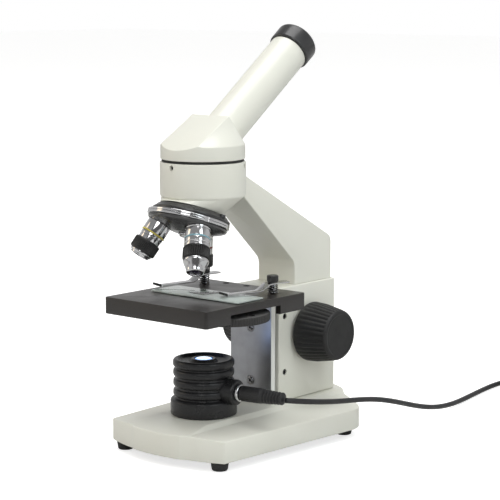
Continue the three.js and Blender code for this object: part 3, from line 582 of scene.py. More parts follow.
def add_cord():
    relief_end = ADAPTER["y"] + ADAPTER["long"] / 2 + 9.2
    tail = [
        (84.0, 345.0, 8.9), (93.0, 345.6, 8.5), (101.0, 344.8, 8.2), (108.6, 341.2, 8.0),
        (113.8, 335.0, 8.0), (115.8, 329.2, 8.0), (116.0, relief_end, 8.0),
    ]
    points = [packed(*p) for p in CORD_ROUTE + coil_points() + tail]
    curve = bpy.data.curves.new("mains_cord", "CURVE")
    curve.dimensions = "3D"
    curve.bevel_depth = CORD_DIAMETER / 2 * MILLIMETRE
    curve.bevel_resolution = 4
    curve.resolution_u = 3
    curve.use_fill_caps = True
    spline = curve.splines.new("NURBS")
    spline.points.add(len(points) - 1)
    for made, point in zip(spline.points, points):
        made.co = (*point, 1)
    spline.order_u = 4
    spline.use_endpoint_u = True
    cord = bpy.data.objects.new("mains_cord", curve)
    bpy.context.scene.collection.objects.link(cord)
    cord.data.materials.append(CORD_BLACK)
    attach(cord, "frame")
    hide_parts("cord_run", "cord_coil")
    return cord


def add_plug():
    """The moulded plug: a knurled grip, and a tail with grooves all round."""
    profile = [
        (0, 30), (4.6, 30), (5.1, 30.6, 0.4), (5.1, 45.4, 0.6), (4.7, 46.4),
    ]
    for start in (47.4, 49.6, 51.8, 54.0, 56.2, 58.4):
        size = 4.75 - 0.05 * (start - 47.4)
        profile += [
            (size, start, 0.15), (size - 0.75, start + 0.35), (size - 0.75, start + 0.95),
            (size - 0.1, start + 1.3, 0.15),
        ]
    profile += [(4.15, 61.2, 0.5), (1.9, 61.6), (0, 61.6)]
    body = lathe(profile, 64, "plug")
    grooves = []
    for k in range(18):
        groove = block(31.6, 44.2, -0.28, 0.28, 4.85, 6.0)
        grooves.append(moved(groove, Matrix.Rotation(2 * math.pi * k / 18, 4, "X")))
    tip = rod(2.6, 18, 31, 32, 0.3)
    body = along_x(gather(body, tip), 0, 0)
    body = cut(body, gather(*grooves))
    moved(body, Matrix.Rotation(JACK_TURN, 4, "Z") @ Matrix.Translation((0, 0, JACK_Z)))
    return settle(body, "mains_plug", "frame", CORD_BLACK, ["cord_plug"])


def add_adapter():
    """A wall adapter on the table: two flat pins at one end, the cord's strain relief at the other."""
    long, wide, high = ADAPTER["long"], ADAPTER["wide"], ADAPTER["high"]
    x, y = ADAPTER["x"], ADAPTER["y"]
    half, corner = wide / 2, 6.5

    def outline(inset, low):
        side, top = half - inset, high - inset
        corners = [(-side, low, 4), (side, low, 4), (side, top, corner), (-side, top, corner)]
        return rounded(corners, steps=6)

    body = slab(outline(0, 0.1), -long / 2, long / 2, 1.1, "adapter")
    around = (-half - 1, half + 1, -1, high + 1)
    seam = block(*around, -long / 2 + 9, -long / 2 + 9.5)
    inner = slab(outline(0.5, 0.6), -long / 2 + 8, -long / 2 + 11)
    seam = cut(seam, inner)
    label = block(-11, 11, high - 0.4, high + 1, -12, 20)
    body = cut(body, seam, label)
    stand = Matrix(((1, 0, 0, x), (0, 0, -1, y), (0, 1, 0, 0), (0, 0, 0, 1)))
    moved(body, stand)
    settle(body, "mains_adapter_shell", "frame", ADAPTER_BLACK, ["mains_adapter"])

    pins = []
    for side in (-6.35, 6.35):
        front = y - long / 2
        pin = block(side - 0.75, side + 0.75, front - 15.8, front + 2, 10.8, 17.2, 0.35)
        hole = along_x(rod(1.5, side - 2, side + 2, 24), front - 12.4, 14)
        pins.append(shift(cut(pin, hole), x, 0))
    settle(gather(*pins), "adapter_pins", "frame", BRASS, ())

    profile = [(0, 0), (3.4, 0)]
    for start in (1.2, 3.2, 5.2, 7.2):
        size = 3.4 - 0.09 * start
        profile += [
            (size, start, 0.1), (size - 0.6, start + 0.3), (size - 0.6, start + 0.8),
            (size, start + 1.1, 0.1),
        ]
    profile += [(2.4, 9.0, 0.3), (0, 9.0)]
    relief = along_y(lathe(profile, 40), 0, 8)
    shift(relief, x, y + long / 2)
    return settle(relief, "adapter_strain_relief", "frame", CORD_BLACK, ())


mains_cord = add_cord()
mains_plug = add_plug()
adapter_relief = add_adapter()


# ---- base, feet, housing and bracket ----
def base_outline():
    """The bowed front edge of the casting's plan, whose middle stands proud of its two sides."""
    centre, radius, proud = 72.0, 120.0, 1.3
    middle = (0, 5, 10, 15, 20.4)
    sides = (23.4, 30, 35, 40, 45, 49.95)
    half = [(x, centre - math.sqrt(radius ** 2 - x ** 2)) for x in middle]
    half += [(x, centre - math.sqrt((radius - proud) ** 2 - x ** 2)) for x in sides]
    return [(-x, y) for x, y in reversed(half[1:])] + half


def add_base():
    front = base_outline()
    side, tail = (58, 99), (12, 128)
    half_rear = arc_corner((49.5, -36), side, tail, 12, 8)
    half_rear += arc_corner(side, tail, (-tail[0], tail[1]), 8, 8)
    rear = half_rear + [Vector((-p.x, p.y)) for p in reversed(half_rear)]
    plan = slab(front + rear, FEET_HEIGHT, 40)
    outer, bevel = 64, 3
    section = slab([
        (-outer, FEET_HEIGHT - 1), (outer, FEET_HEIGHT - 1), (outer, 19.3),
        (PLATFORM_HALF + bevel, 22), (PLATFORM_HALF, PLATFORM_Z),
        (-PLATFORM_HALF, PLATFORM_Z), (-PLATFORM_HALF - bevel, 22), (-outer, 19.3),
    ], -140, 60)
    moved(section, Matrix.Rotation(math.radians(90), 4, "X"))
    body = boolean(plan, "INTERSECT", section)
    slope = side_slab([(-51, 20.7), (-24, PLATFORM_Z), (-24, 32), (-51, 32)], -65, 65)
    recess = slab([(p[0] * 0.92, 40 + (p[1] - 40) * 0.95) for p in front + rear], 0, FEET_HEIGHT + 2)
    body = cut(body, slope, recess)
    for side_x in (-26.8, 26.8):
        weld(body, (side_x, -43.64, 21.98), 1.7)
    body = repair(body, 0.7, 20, 3)
    settle(body, "base_shell", "frame", IVORY, ["base_casting"], 28)

    for name, x, y in (
        ("front_left", -42, -31.5), ("front_right", 42, -31.5),
        ("rear_left", -44.5, 95), ("rear_right", 44.5, 95),
    ):
        foot = lathe([
            (0, 1.2), (1.6, 1.2), (2.0, 0.0, 0.2), (4.7, 0.0, 0.5), (5.2, 0.7, 0.4), (5.9, 5.3, 0.3),
            (5.6, 5.6), (0, 5.6),
        ], 64)
        settle(shift(foot, x, y), f"foot_{name}", "frame", RUBBER_AND_SHADE, [f"rubber_foot_{name}"])


def socket_screw(radius, start, end):
    """A grub screw along X, with its hexagonal socket at the far end."""
    body = lathe([(0, start), (radius, start), (radius, end, 0.25), (0, end)], 40)
    flat = radius * 0.52
    socket = lathe([(0, end - 1.8), (flat, end - 1.6), (flat, end + 1), (0, end + 1)], 6)
    return along_x(cut(body, socket), 0, 0)


def add_housing():
    half, front, rear, top = (HOUSING[k] for k in ("half", "front", "rear", "top"))
    outer = slab(
        rounded([(-half, front, 1.6), (half, front, 1.6), (half, rear, 3), (-half, rear, 3)], steps=6),
        25.3, top, 0.9,
    )
    well = block(-ARM["half"] - 0.5, ARM["half"] + 0.5, ARM["front"] - 0.5, ARM["rear"] + 0.5, 27, top + 5)
    shaft = along_x(rod(6.3, -half - 2, half + 2, 64), SHAFT["y"], SHAFT["z"])
    slot = block(-13.8, 13.8, front - 2, 69.8, 29.7, 97.3)
    holes = [along_x(rod(2.2, 12, half + 2, 32), SET_SCREW_Y, z) for z in SET_SCREW_HEIGHTS]
    body = cut(outer, well, shaft, slot, *holes)
    settle(body, "housing_shell", "frame", IVORY, ["focus_housing"], 28)
    for i, z in enumerate(SET_SCREW_HEIGHTS):
        screw = shift(socket_screw(1.95, 13.8, half - 0.7), 0, SET_SCREW_Y, z)
        settle(
            screw, f"bracket_grub_{i + 1}", "frame", SOCKET_BLACK,
            [f"bracket_set_screw_{i + 1}"],
        )
    for side, name in ((-1, "left"), (1, "right")):
        bush = ring([(3.3, half - 3), (6, half - 3), (6, half + 1.2, 0.4), (3.3, half + 1.2, 0.3)], 64)
        bush = along_x(bush, 0, 0)
        if side < 0:
            moved(bush, Matrix.Rotation(math.pi, 4, "Z"))
        shift(bush, 0, SHAFT["y"], SHAFT["z"])
        settle(bush, f"bushing_{name}", "frame", BRASS, [f"shaft_bushing_{name}"])


def add_bracket():
    face = block(-18.2, 18.2, 47.9, 52.3, 25.3, 99.3, 0.5)
    shelf = block(-18.2, 18.2, 33, 50, 95.3, 99.3, 0.5)
    tongue = block(-13.5, 13.5, 51, 69.5, 30, 97, 0.3)
    body = fuse(face, shelf, tongue)
    recesses = [along_y(rod(3.5, 47.1, 48.5, 48), 0, z) for z in BRACKET_SCREW_HEIGHTS]
    recesses += [along_y(rod(3.2, 47, 50.9, 48), 0, z) for z in BRACKET_SCREW_HEIGHTS]
    body = cut(body, *recesses)
    settle(body, "bracket_plate", "frame", BRACKET_GREY, ["stage_bracket"], 28)
    for i, z in enumerate(BRACKET_SCREW_HEIGHTS):
        washer = ring([(1.8, 48.0), (3.2, 48.0, 0.1), (3.2, 48.45, 0.2), (1.8, 48.45)], 48)
        along_y(washer, 0, z)
        head = lathe([
            (0, 48.2), (0.9, 48.2), (1.1, 47.2, 0.1), (2.0, 47.2, 0.3), (2.3, 47.8, 0.2),
            (2.3, 50.6), (0, 50.6),
        ], 48)
        slot = block(-3.5, 3.5, -0.4, 0.4, 46.5, 48.0)
        head = along_y(cut(head, spun(slot, 35)), 0, z)
        settle(washer, f"bracket_washer_{i + 1}", "frame", DARK_STEEL, ())
        settle(
            head, f"bracket_screw_head_{i + 1}", "frame", DARK_STEEL,
            [f"bracket_screw_{i + 1}"],
        )


# ---- stage, diaphragm, clips and specimen ----
def add_stage():
    outline = rounded([(-45, -47.2, 2.4), (45, -47.2, 2.4), (45, 51.4, 2.2), (-45, 51.4, 2.2)], steps=8)
    body = slab(outline, STAGE_BOTTOM, STAGE_TOP, 0.55)
    hollow = block(-41, 41, -43.2, 47.4, STAGE_BOTTOM - 2, PLATE_BOTTOM)
    side_gap = block(39, 47, -24, 25.5, STAGE_BOTTOM - 2, PLATE_BOTTOM)
    rear_gap = block(-18.5, 18.5, 45, 55, STAGE_BOTTOM - 2, PLATE_BOTTOM)
    lens_hole = lathe([(0, 98), (12, 98), (12, 103.9), (9.5, 104.2), (9.5, 106), (0, 106)], 96)
    posts = [
        shift(rod(1.9, 98, 106, 32), side * CLIP_POST["x"], CLIP_POST["y"]) for side in (-1, 1)
    ]
    spare = [shift(rod(2.4, 101.3, 106, 40), x, 46) for x in (-20.5, -2)]
    body = cut(body, hollow, side_gap, rear_gap, lens_hole, *posts, *spare)
    settle(body, "stage_body", "frame", STAGE_BLACK, ["stage_plate"], 28)
    lens = lathe([
        (0, 100.7), (8.8, 100.7, 0.4), (11.5, 101.6, 0.3), (11.5, 103.5, 0.3), (9.2, 104.0, 0.4),
        (5.0, 104.45), (0, 104.6),
    ], 96)
    settle(lens, "condenser", "frame", CLEAR_GLASS, ["condenser_lens"])


def add_diaphragm():
    bottom, top, radius = DISC["bottom"], DISC["top"], DISC["radius"]
    wheel = lathe([
        (0, bottom), (6, bottom, 0.3), (6.4, bottom + 1.6), (24.6, bottom + 1.6), (25.4, bottom, 0.2),
        (radius - 0.5, bottom, 0.3), (radius, bottom + 0.6), (radius, bottom + 2.4), (radius, top - 0.6),
        (radius - 0.5, top, 0.3), (0, top),
    ], 96, "wheel", (90, 0.5, bottom + 0.5, top - 0.5))
    holes = [rod(2.5, 80, 110, 32)]
    toward_axis = math.atan2(-DISC["y"], -DISC["x"])
    reach = math.hypot(DISC["x"], DISC["y"])
    for i, size in enumerate((6.2, 4.8, 3.6, 2.6, 1.7, 1.1)):
        turn = toward_axis + i * math.pi / 3
        holes.append(shift(rod(size, 80, 110, 48), reach * math.cos(turn), reach * math.sin(turn)))
    wheel = cut(wheel, *holes)
    shift(wheel, DISC["x"], DISC["y"])
    settle(wheel, "diaphragm_wheel", "diaphragm", WHEEL_GREY, ["diaphragm_disc"], 40)
    screw = lathe([
        (0, 88.8), (3.4, 88.8, 0.5), (4.4, 89.6, 0.3), (4.4, 90.7), (2.2, 90.7), (2.2, 96.6),
        (3.2, 96.6), (3.2, 99.3), (0, 99.3),
    ], 56)
    screw = cut(screw, block(-5, 5, -0.45, 0.45, 88, 89.7))
    settle(shift(screw, DISC["x"], DISC["y"]), "wheel_screw", "frame", STEEL, ["diaphragm_screw"])


def clip_frame(side, degrees):
    where = Matrix.Translation((side * CLIP_POST["x"], CLIP_POST["y"], 0))
    return where @ Matrix.Rotation(math.radians(degrees), 4, "Z")


def add_clip(name, side, degrees):
    where = clip_frame(side, degrees)
    thick = 0.75
    line = [(12.3, 111.3), (-4.4, 111.3, 2), (-11, 106.95, 2), (-37.4, 106.95, 1.5), (-40.6, 108.3)]
    lower = rounded(line, closed=False)
    upper = [Vector((p.x, p.y + thick)) for p in reversed(lower)]
    strip = side_slab(lower + upper, -6, 6)
    outline = slab(rounded([
        (-3.6, 12.3, 2.6), (-4.0, -6, 1), (-3.6, -12, 2), (-2.2, -40.6, 0.8), (2.2, -40.6, 0.8),
        (3.6, -12, 2), (4.0, -6, 1), (3.6, 12.3, 2.6),
    ]), 100, 120)
    strip = boolean(strip, "INTERSECT", outline)
    strip = cut(strip, rod(1.85, 100, 120, 32))
    repair(strip, 0.16, 40, 2)
    body = f"clip_{name}"
    settle(moved(strip, where), f"clip_leaf_{name}", body, CLIP_CHROME, [f"stage_clip_{name}"])

    # Painted shade: a black tip over the clip's curled-up end stands in for the shade that falls there.
    tip = side_slab(rounded([
        (-36.9, 106.6, 0.3), (-37.6, 106.6, 0.3), (-40.9, 107.95, 0.3), (-40.9, 109.5, 0.5),
        (-37.2, 108.2, 0.5),
    ]), -2.5, 2.5, 0.35)
    settle(moved(tip, where), f"clip_tip_{name}", body, RUBBER_AND_SHADE, ())

    turns, steps = 5, 24
    coil = []
    for k in range(turns * steps + 1):
        angle = 2 * math.pi * k / steps
        # The end turns lie flat.
        share = min(max((k / steps - 0.6) / (turns - 1.2), 0), 1)
        coil.append((3.25 * math.cos(angle), 3.25 * math.sin(angle), 105.45 + 5.1 * share))
    spring = drawn_tube(coil, 0.38, "spring", 10)
    replaced = [f"clip_spring_{name}"]
    settle(moved(spring, where), f"clip_coil_{name}", "frame", DARK_STEEL, replaced)

    head = lathe([
        (0, 112.3), (3.5, 112.3, 0.3), (3.85, 112.8, 0.2), (3.85, 116.3), (3.4, 117.1, 0.4), (0, 117.1),
    ], 96, "head", (32, 0.25, 112.7, 116.6))
    post = moved(gather(head, rod(1.5, 100, 113, 32)), where)
    settle(post, f"post_{name}", "frame", BLACK_ENAMEL, [f"clip_post_{name}"])


def add_specimen():
    low = STAGE_TOP + 0.3
    slide = block(-35.1, 41.1, -13, 12.4, low, low + 1, 0.18)
    settle(slide, "glass_slide", "specimen", SLIDE_GLASS, ["specimen_slide"])
    cover = block(-8, 8, -8, 8, low + 1.07, low + 1.27, 0.04)
    turn = Matrix.Translation((-0.5, 2.3, 0)) @ Matrix.Rotation(math.radians(-9), 4, "Z")
    settle(moved(cover, turn), "cover_slip", "specimen", CLEAR_GLASS, ["cover_glass"])


# ---- arm and its screws, knobs ----
def turret_frame():
    return Matrix.Translation((0, 0, APEX_Z)) @ Matrix.Rotation(-TURRET_TILT, 4, "X")


def nosepiece_cone():
    """The cone under the drum, which ends square to the turret's tilted axis."""
    steps = 96
    tilt = turret_frame()

    def rim(radius, z):
        turns = [2 * math.pi * k / steps for k in range(steps)]
        return [Vector((radius * math.cos(turn), radius * math.sin(turn), z)) for turn in turns]

    vertices = rim(27.3, 170.6) + [tilt @ point for point in rim(20.5, -34.2)]
    faces = [tuple(range(steps)), tuple(range(steps, 2 * steps))]
    for k in range(steps):
        j = (k + 1) % steps
        faces.append((k, j, steps + j, steps + k))
    return repair(mesh_object("cone", vertices, faces))


def add_arm():
    bar = side_slab(rounded([
        (75.3, 86, 1), (75.3, 119.2, 4), (10, 180.3, 0), (10, 190.6, 0), (115.3, 133.6, 4),
        (115.3, 34, 1), (95, 34, 1), (95, 86, 0),
    ], steps=8), -ARM["half"], ARM["half"], 1.0)
    drum = lathe([
        (0, 169.9), (26.6, 169.9, 0.8), (28.2, 171.4, 1.4), (28.2, DRUM_TOP, 0.5), (0, DRUM_TOP),
    ], 128)
    body = fuse(bar, drum, nosepiece_cone())
    bore = rod(10, 130, 220, 64)
    neck = rod(18.5, DRUM_TOP - 6, DRUM_TOP + 4, 96)
    lock_holes = [
        spun(along_x(rod(1.75, 12, 32, 32), 0, HEAD_SCREW_Z), degrees) for degrees in HEAD_SCREW_DEGREES
    ]
    groove = block(-4.3, 4.3, 94, 97.3, 33, 84)
    body = cut(body, bore, neck, groove, *lock_holes)
    settle(body, "arm_casting", "carriage", IVORY, ["arm"], 28)
    for i, degrees in enumerate(HEAD_SCREW_DEGREES):
        screw = shift(socket_screw(1.6, 19, 26.6), 0, 0, HEAD_SCREW_Z)
        spun(screw, degrees)
        settle(
            screw, f"head_grub_{i + 1}", "carriage", SOCKET_BLACK, [f"head_set_screw_{i + 1}"],
        )


def add_knobs():
    profile = [
        (0, 22.6), (17, 22.6), (18.4, 21.1, 0.5), (20.0, 21.1, 0.5), (20.55, 22.6, 0.4), (20.35, 26.5),
        (20.1, 30), (18.6, 38.5), (17.7, 43.4), (17.3, 44.8, 0.8), (16.2, 46.4, 0.7), (14.6, 46.5, 0.3),
        (13.8, 46.1, 0.3), (0, 46.0),
    ]
    for side, name in ((-1, "left"), (1, "right")):
        knob = lathe(profile, 96, "knob", (36, 0.75, 24.5, 44.9))
        moved(knob, Matrix.Rotation(side * math.pi / 2, 4, "Y"))
        shift(knob, 0, SHAFT["y"], SHAFT["z"])
        settle(knob, f"knob_{name}", "pinion", KNOB_BLACK, [f"focus_knob_{name}"], 40)


# ---- head, tube and eyepiece ----
def tube_frame():
    return Matrix.Translation((0, 0, TUBE_ORIGIN_Z)) @ Matrix.Rotation(-TUBE_TILT, 4, "X")


def head_block():
    """The head's round wall, with a roof that runs up from it to the tube's face."""
    facet_half = 16
    front, rear = Vector((-22.6, 205.2)), Vector((7.3, 223))
    slope = (rear.y - front.y) / (rear.x - front.x)
    steps = 144
    points = []
    for k in range(steps):
        turn = 2 * math.pi * (k + 0.5) / steps
        x, y = HEAD_RADIUS * math.cos(turn), HEAD_RADIUS * math.sin(turn)
        in_front = y < 0 and abs(x) < facet_half
        top = front.y + (y - front.x) * slope if in_front else HEAD_SHOULDER
        points += [(x, y, HEAD_BOTTOM), (x, y, top)]
    for x in (-facet_half, facet_half):
        points += [(x, front.x, front.y), (x, rear.x, rear.y)]
    made = mesh_object("head", points, [])
    bm = bmesh.new()
    bm.from_mesh(made.data)
    bmesh.ops.convex_hull(bm, input=bm.verts)
    bmesh.ops.dissolve_limit(bm, angle_limit=math.radians(0.4), verts=bm.verts, edges=bm.edges)
    bm.to_mesh(made.data)
    bm.free()
    return repair(made, 0.45, 18, 3)


def add_head():
    frame_matrix = tube_frame()
    body = head_block()
    seat = moved(rod(13.9, 17, 70, 96), frame_matrix)
    inner = moved(rod(12, 4, 40, 96), frame_matrix)
    room = block(-9, 9, -10.5, 9, HEAD_BOTTOM - 2, 211)
    neck = rod(18, DRUM_TOP - 5, HEAD_BOTTOM + 0.5, 96)
    body = cut(body, seat, inner, room)
    body = cut(fuse(body, neck), rod(9, 180, 202, 64))
    settle(body, "head_shell", "head", IVORY, ["head_casing"], 28)

    tube = ring([
        (11.75, 17.5), (13.5, 17.5), (13.5, 108.4, 0.5), (11.75, 108.4, 0.3),
    ], 128)
    settle(moved(tube, frame_matrix), "ocular_tube", "head", IVORY, ["eyepiece_tube"])
    seam = ring([(18.6, 193.6), (26.9, 193.6, 0.3), (26.9, 195.0, 0.3), (18.6, 195.0)], 128)
    settle(seam, "bearing_seam", "carriage", RUBBER_AND_SHADE, ["head_bearing_ring"])


def add_eyepiece():
    lip, end = 108.7, 122.0
    barrel = ring([
        (9.2, 84), (11.45, 84, 0.3), (11.45, lip), (14.4, lip, 0.2), (14.9, lip + 0.8, 0.3),
        (14.95, end - 1.8, 0.8), (13.2, end, 0.8), (9.6, end, 0.8), (7.6, end - 3.2, 0.3),
        (7.4, end - 5), (9.2, end - 5),
    ], 128)
    moved(barrel, tube_frame())
    settle(barrel, "ocular_barrel", "eyepiece", BLACK_ENAMEL, ["eyepiece_barrel"])
    top = end - 5.3
    lens = lathe([
        (0, top - 4), (8.9, top - 4, 0.2), (8.9, top - 1.3, 0.2), (7, top - 0.6),
        (4, top - 0.15), (0, top),
    ], 96)
    moved(lens, tube_frame())
    settle(lens, "ocular_lens", "eyepiece", DARK_GLASS, ["eye_lens"])


# ---- nosepiece and lenses ----
def objective_frame(degrees):
    around = Matrix.Rotation(TURRET_TURN + math.radians(degrees), 4, "Z")
    return turret_frame() @ around @ Matrix.Rotation(TURRET_TILT, 4, "X")


def add_nosepiece():
    tilt = turret_frame()
    turned = tilt @ Matrix.Rotation(TURRET_TURN, 4, "Z")
    mount = lathe([
        (0, -34.5), (21.8, -34.5, 0.4), (23.2, -35.4, 0.4), (24.4, -36.8), (25.7, -37.7, 0.4),
        (25.7, -39.3, 0.3), (0, -39.5),
    ], 128)
    shift(mount, 0, MOUNT_SETBACK)
    light = shift(rod(7, -60, 0, 64), 0, 36.5 * math.tan(TURRET_TILT))
    mount = cut(mount, light, rod(2.3, -60, -36, 32))
    catch = rod(2.0, -37.4, -34.8, 32, 0.6)
    catch = shift(catch, 24.2 * math.cos(math.radians(12)), 24.2 * math.sin(math.radians(12)))
    mount = gather(mount, catch)
    moved(mount, tilt)
    settle(mount, "turret_mount", "carriage", BLACK_ENAMEL, ["nosepiece_mount"])

    flange = ring([
        (25, -39.8), (26.9, -39.8, 0.3), (27.15, -40.2, 0.2), (27.15, -41.2, 0.1), (26.7, -41.45),
        (27.15, -41.7, 0.1), (27.15, -42.8, 0.3), (26.7, -43.2, 0.2), (25, -43.2),
    ], 144)
    notches = []
    for degrees in (60, 180, -60):
        notch = block(-1.5, 1.5, -28.2, -26.1, -44, -39, 0.2)
        notches.append(spun(notch, degrees))
    flange = cut(flange, *notches)
    settle(moved(flange, turned), "turret_flange", "turret", CHROME, ["turret_ring"])

    carrier = lathe([
        (0, -39.9), (24.7, -39.9), (24.7, -43.5), (26.2, -43.5, 0.3), (26.2, -45.0, 0.8),
        (23.8, -46.3, 1.4), (16, -48.9), (9, -51, 0.8), (0, -51),
    ], 128)
    seats = []
    for degrees in (0, 120, -120):
        lens_way = Matrix.Rotation(math.radians(degrees), 4, "Z") @ Matrix.Rotation(TURRET_TILT, 4, "X")
        seats.append(moved(rod(8.8, -70, -47.3, 64), lens_way))
        seats.append(moved(rod(6.2, -70, -30, 64), lens_way))
    carrier = cut(carrier, rod(3.3, -60, -30, 48), *seats)
    settle(moved(carrier, turned), "turret_cone", "turret", TURRET_GREY, ["turret_carrier"])

    screw = lathe([
        (0, -53.6), (2.6, -53.6, 0.3), (3.3, -53.3, 0.2), (3.5, -52.6), (4.6, -52.2, 0.3),
        (4.6, -51.3, 0.1), (3, -51.3), (3, -39.9), (2, -39.9), (2, -36.4), (0, -36.4),
    ], 64)
    screw = cut(screw, block(-4, 4, -0.45, 0.45, -54.5, -53.0))
    settle(moved(screw, turned), "turret_pivot", "turret", CHROME, ["turret_screw"])


def lens_part(profile, degrees, name, look, nodes=(), flutes=None, sides=96):
    """One turned part of a lens barrel: heights are distances from the turret's apex."""
    made = lathe([(p[0], -p[1], *p[2:]) for p in profile], sides, name, flutes)
    return settle(moved(made, objective_frame(degrees)), name, "turret", look, nodes)


def add_objectives():
    seat = 47.6
    socket = [(0, 44.6), (5.8, 44.6), (5.8, seat)]
    wide_top = socket + [
        (8.0, seat, 0.2), (8.3, 48.3), (8.3, 52.0, 0.1), (8.0, 52.3), (8.0, 52.7), (8.3, 53.0, 0.1),
    ]
    # 10x
    lens_part(socket + [
        (7.7, seat, 0.2), (7.9, 48.4), (7.9, 50.2, 0.1),
        (7.6, 50.5), (7.6, 50.9), (7.9, 51.2, 0.1), (7.9, 58.6, 0.3), (6, 58.6), (6, 59.7),
        (7.7, 59.7, 0.3), (7.7, 61.6, 0.1), (7.4, 61.9), (7.4, 64.8, 0.2), (6, 64.8), (0, 64.8),
    ], 120, "lens_10x_barrel", CHROME, ["objective_10x_barrel"])
    lens_part([
        (5, 58.7), (8.2, 58.7, 0.2), (8.2, 59.6, 0.2), (5, 59.6),
    ], 120, "lens_10x_band", YELLOW)
    lens_part([
        (4, 64.9), (8.2, 64.9, 0.3), (8.8, 65.6, 0.3), (8.8, 66.4), (8.75, 72.0), (8.5, 72.8, 0.4),
        (7.6, 73.2, 0.3), (4, 73.2),
    ], 120, "lens_10x_grip", KNOB_BLACK, (), (44, 0.5, -72.2, -66.2))
    lens_part([
        (4.0, 73.3), (7.5, 73.3, 0.2), (7.4, 74.3, 0.3), (6.6, 74.7, 0.2), (6.4, 75.8, 0.3),
        (5.4, 76.0, 0.2), (4.4, 75.2, 0.1), (3.7, 74.9), (3.7, 74.4),
    ], 120, "lens_10x_nose", CHROME)
    # 40x
    lens_part(wide_top + [
        (8.3, 58.2, 0.3), (6, 58.2), (6, 59.2),
        (8.3, 59.2, 0.3), (8.3, 62.0, 0.1), (8.0, 62.3), (8.0, 62.6), (8.3, 62.9, 0.1),
        (8.3, 64.8, 0.2), (6, 64.8), (0, 64.8),
    ], -120, "lens_40x_barrel", CHROME, ["objective_40x_barrel"])
    lens_part([
        (5, 58.3), (8.4, 58.3, 0.2), (8.4, 59.1, 0.2), (5, 59.1),
    ], -120, "lens_40x_band", BLUE)
    lens_part([
        (4, 64.9), (8.3, 64.9, 0.3), (8.85, 65.6, 0.3), (8.85, 66.2), (8.85, 72.0), (8.6, 72.8, 0.4),
        (7.6, 73.2, 0.3), (4, 73.2),
    ], -120, "lens_40x_grip", KNOB_BLACK, (), (40, 0.7, -72.2, -66.0))
    lens_part([
        (4.0, 73.3), (8.2, 73.3, 0.4), (8.3, 74.6, 0.4), (7.6, 76.4, 0.6), (6.6, 78.4, 0.4),
        (6.0, 80.2, 0.4), (5.7, 81.8, 0.4), (5.0, 82.2, 0.2), (3.9, 82.2, 0.1), (3.7, 80.6),
    ], -120, "lens_40x_nose", CHROME)
    # 4x
    lens_part(wide_top + [
        (8.3, 57.9, 0.3), (6, 57.9), (6, 58.9),
        (8.3, 58.9, 0.3), (8.3, 62.9, 0.2), (6, 62.9), (0, 62.9),
    ], 0, "lens_4x_barrel", CHROME, ["objective_4x_barrel"])
    lens_part([(5, 58.0), (8.4, 58.0, 0.2), (8.4, 58.8, 0.2), (5, 58.8)], 0, "lens_4x_band", RED)
    lens_part([
        (4, 63.0), (8.3, 63.0, 0.3), (8.85, 63.7, 0.3), (8.85, 70.5), (8.5, 71.3, 0.4), (7.4, 71.6, 0.3),
        (4, 71.6),
    ], 0, "lens_4x_grip", KNOB_BLACK, (), (44, 0.5, -70.6, -64.2))
    lens_part([
        (4.2, 71.7), (6.7, 71.7, 0.3), (6.3, 73.2, 0.4), (5.6, 74.0, 0.2), (4.2, 74.0, 0.1), (3.9, 72.4),
    ], 0, "lens_4x_nose", CHROME)
    for name, degrees, tip in (("4x", 0, 74.0), ("10x", 120, 76.0), ("40x", -120, 82.2)):
        lens_part([
            (0, tip - 2.8), (3.6, tip - 2.8), (3.6, tip - 1.1, 0.2), (2.4, tip - 0.75), (0, tip - 0.6),
        ], degrees, f"lens_{name}_glass", DARK_GLASS, [f"objective_{name}_lens"], None, 48)


# ---- lamp ----
def glowing():
    """The lit lamp lens: white in the middle and blue towards its rim."""
    look = Look("lamp_glow", (0.75, 0.88, 1.0), 0.12)
    away = look.tree.nodes.new("ShaderNodeVectorMath")
    away.operation = "DISTANCE"
    away.inputs[1].default_value = packed(0, 0, 62.6)
    look.link(look.coordinates, away.inputs[0])
    near = look.spread(away.outputs["Value"], 1, 0, 0.0036, 0.0057)
    mix = look.tree.nodes.new("ShaderNodeMix")
    mix.data_type = "RGBA"
    look.link(near, mix.inputs["Factor"])
    mix.inputs["A"].default_value = (0.10, 0.28, 0.85, 1)
    mix.inputs["B"].default_value = (0.80, 0.92, 1.0, 1)
    look.link(mix.outputs["Result"], look.shader.inputs["Emission Color"])
    look.set(Emission_Strength=1.6)
    look.rough(look.noise(120, 3), 0.08, 0.2)
    return look.material


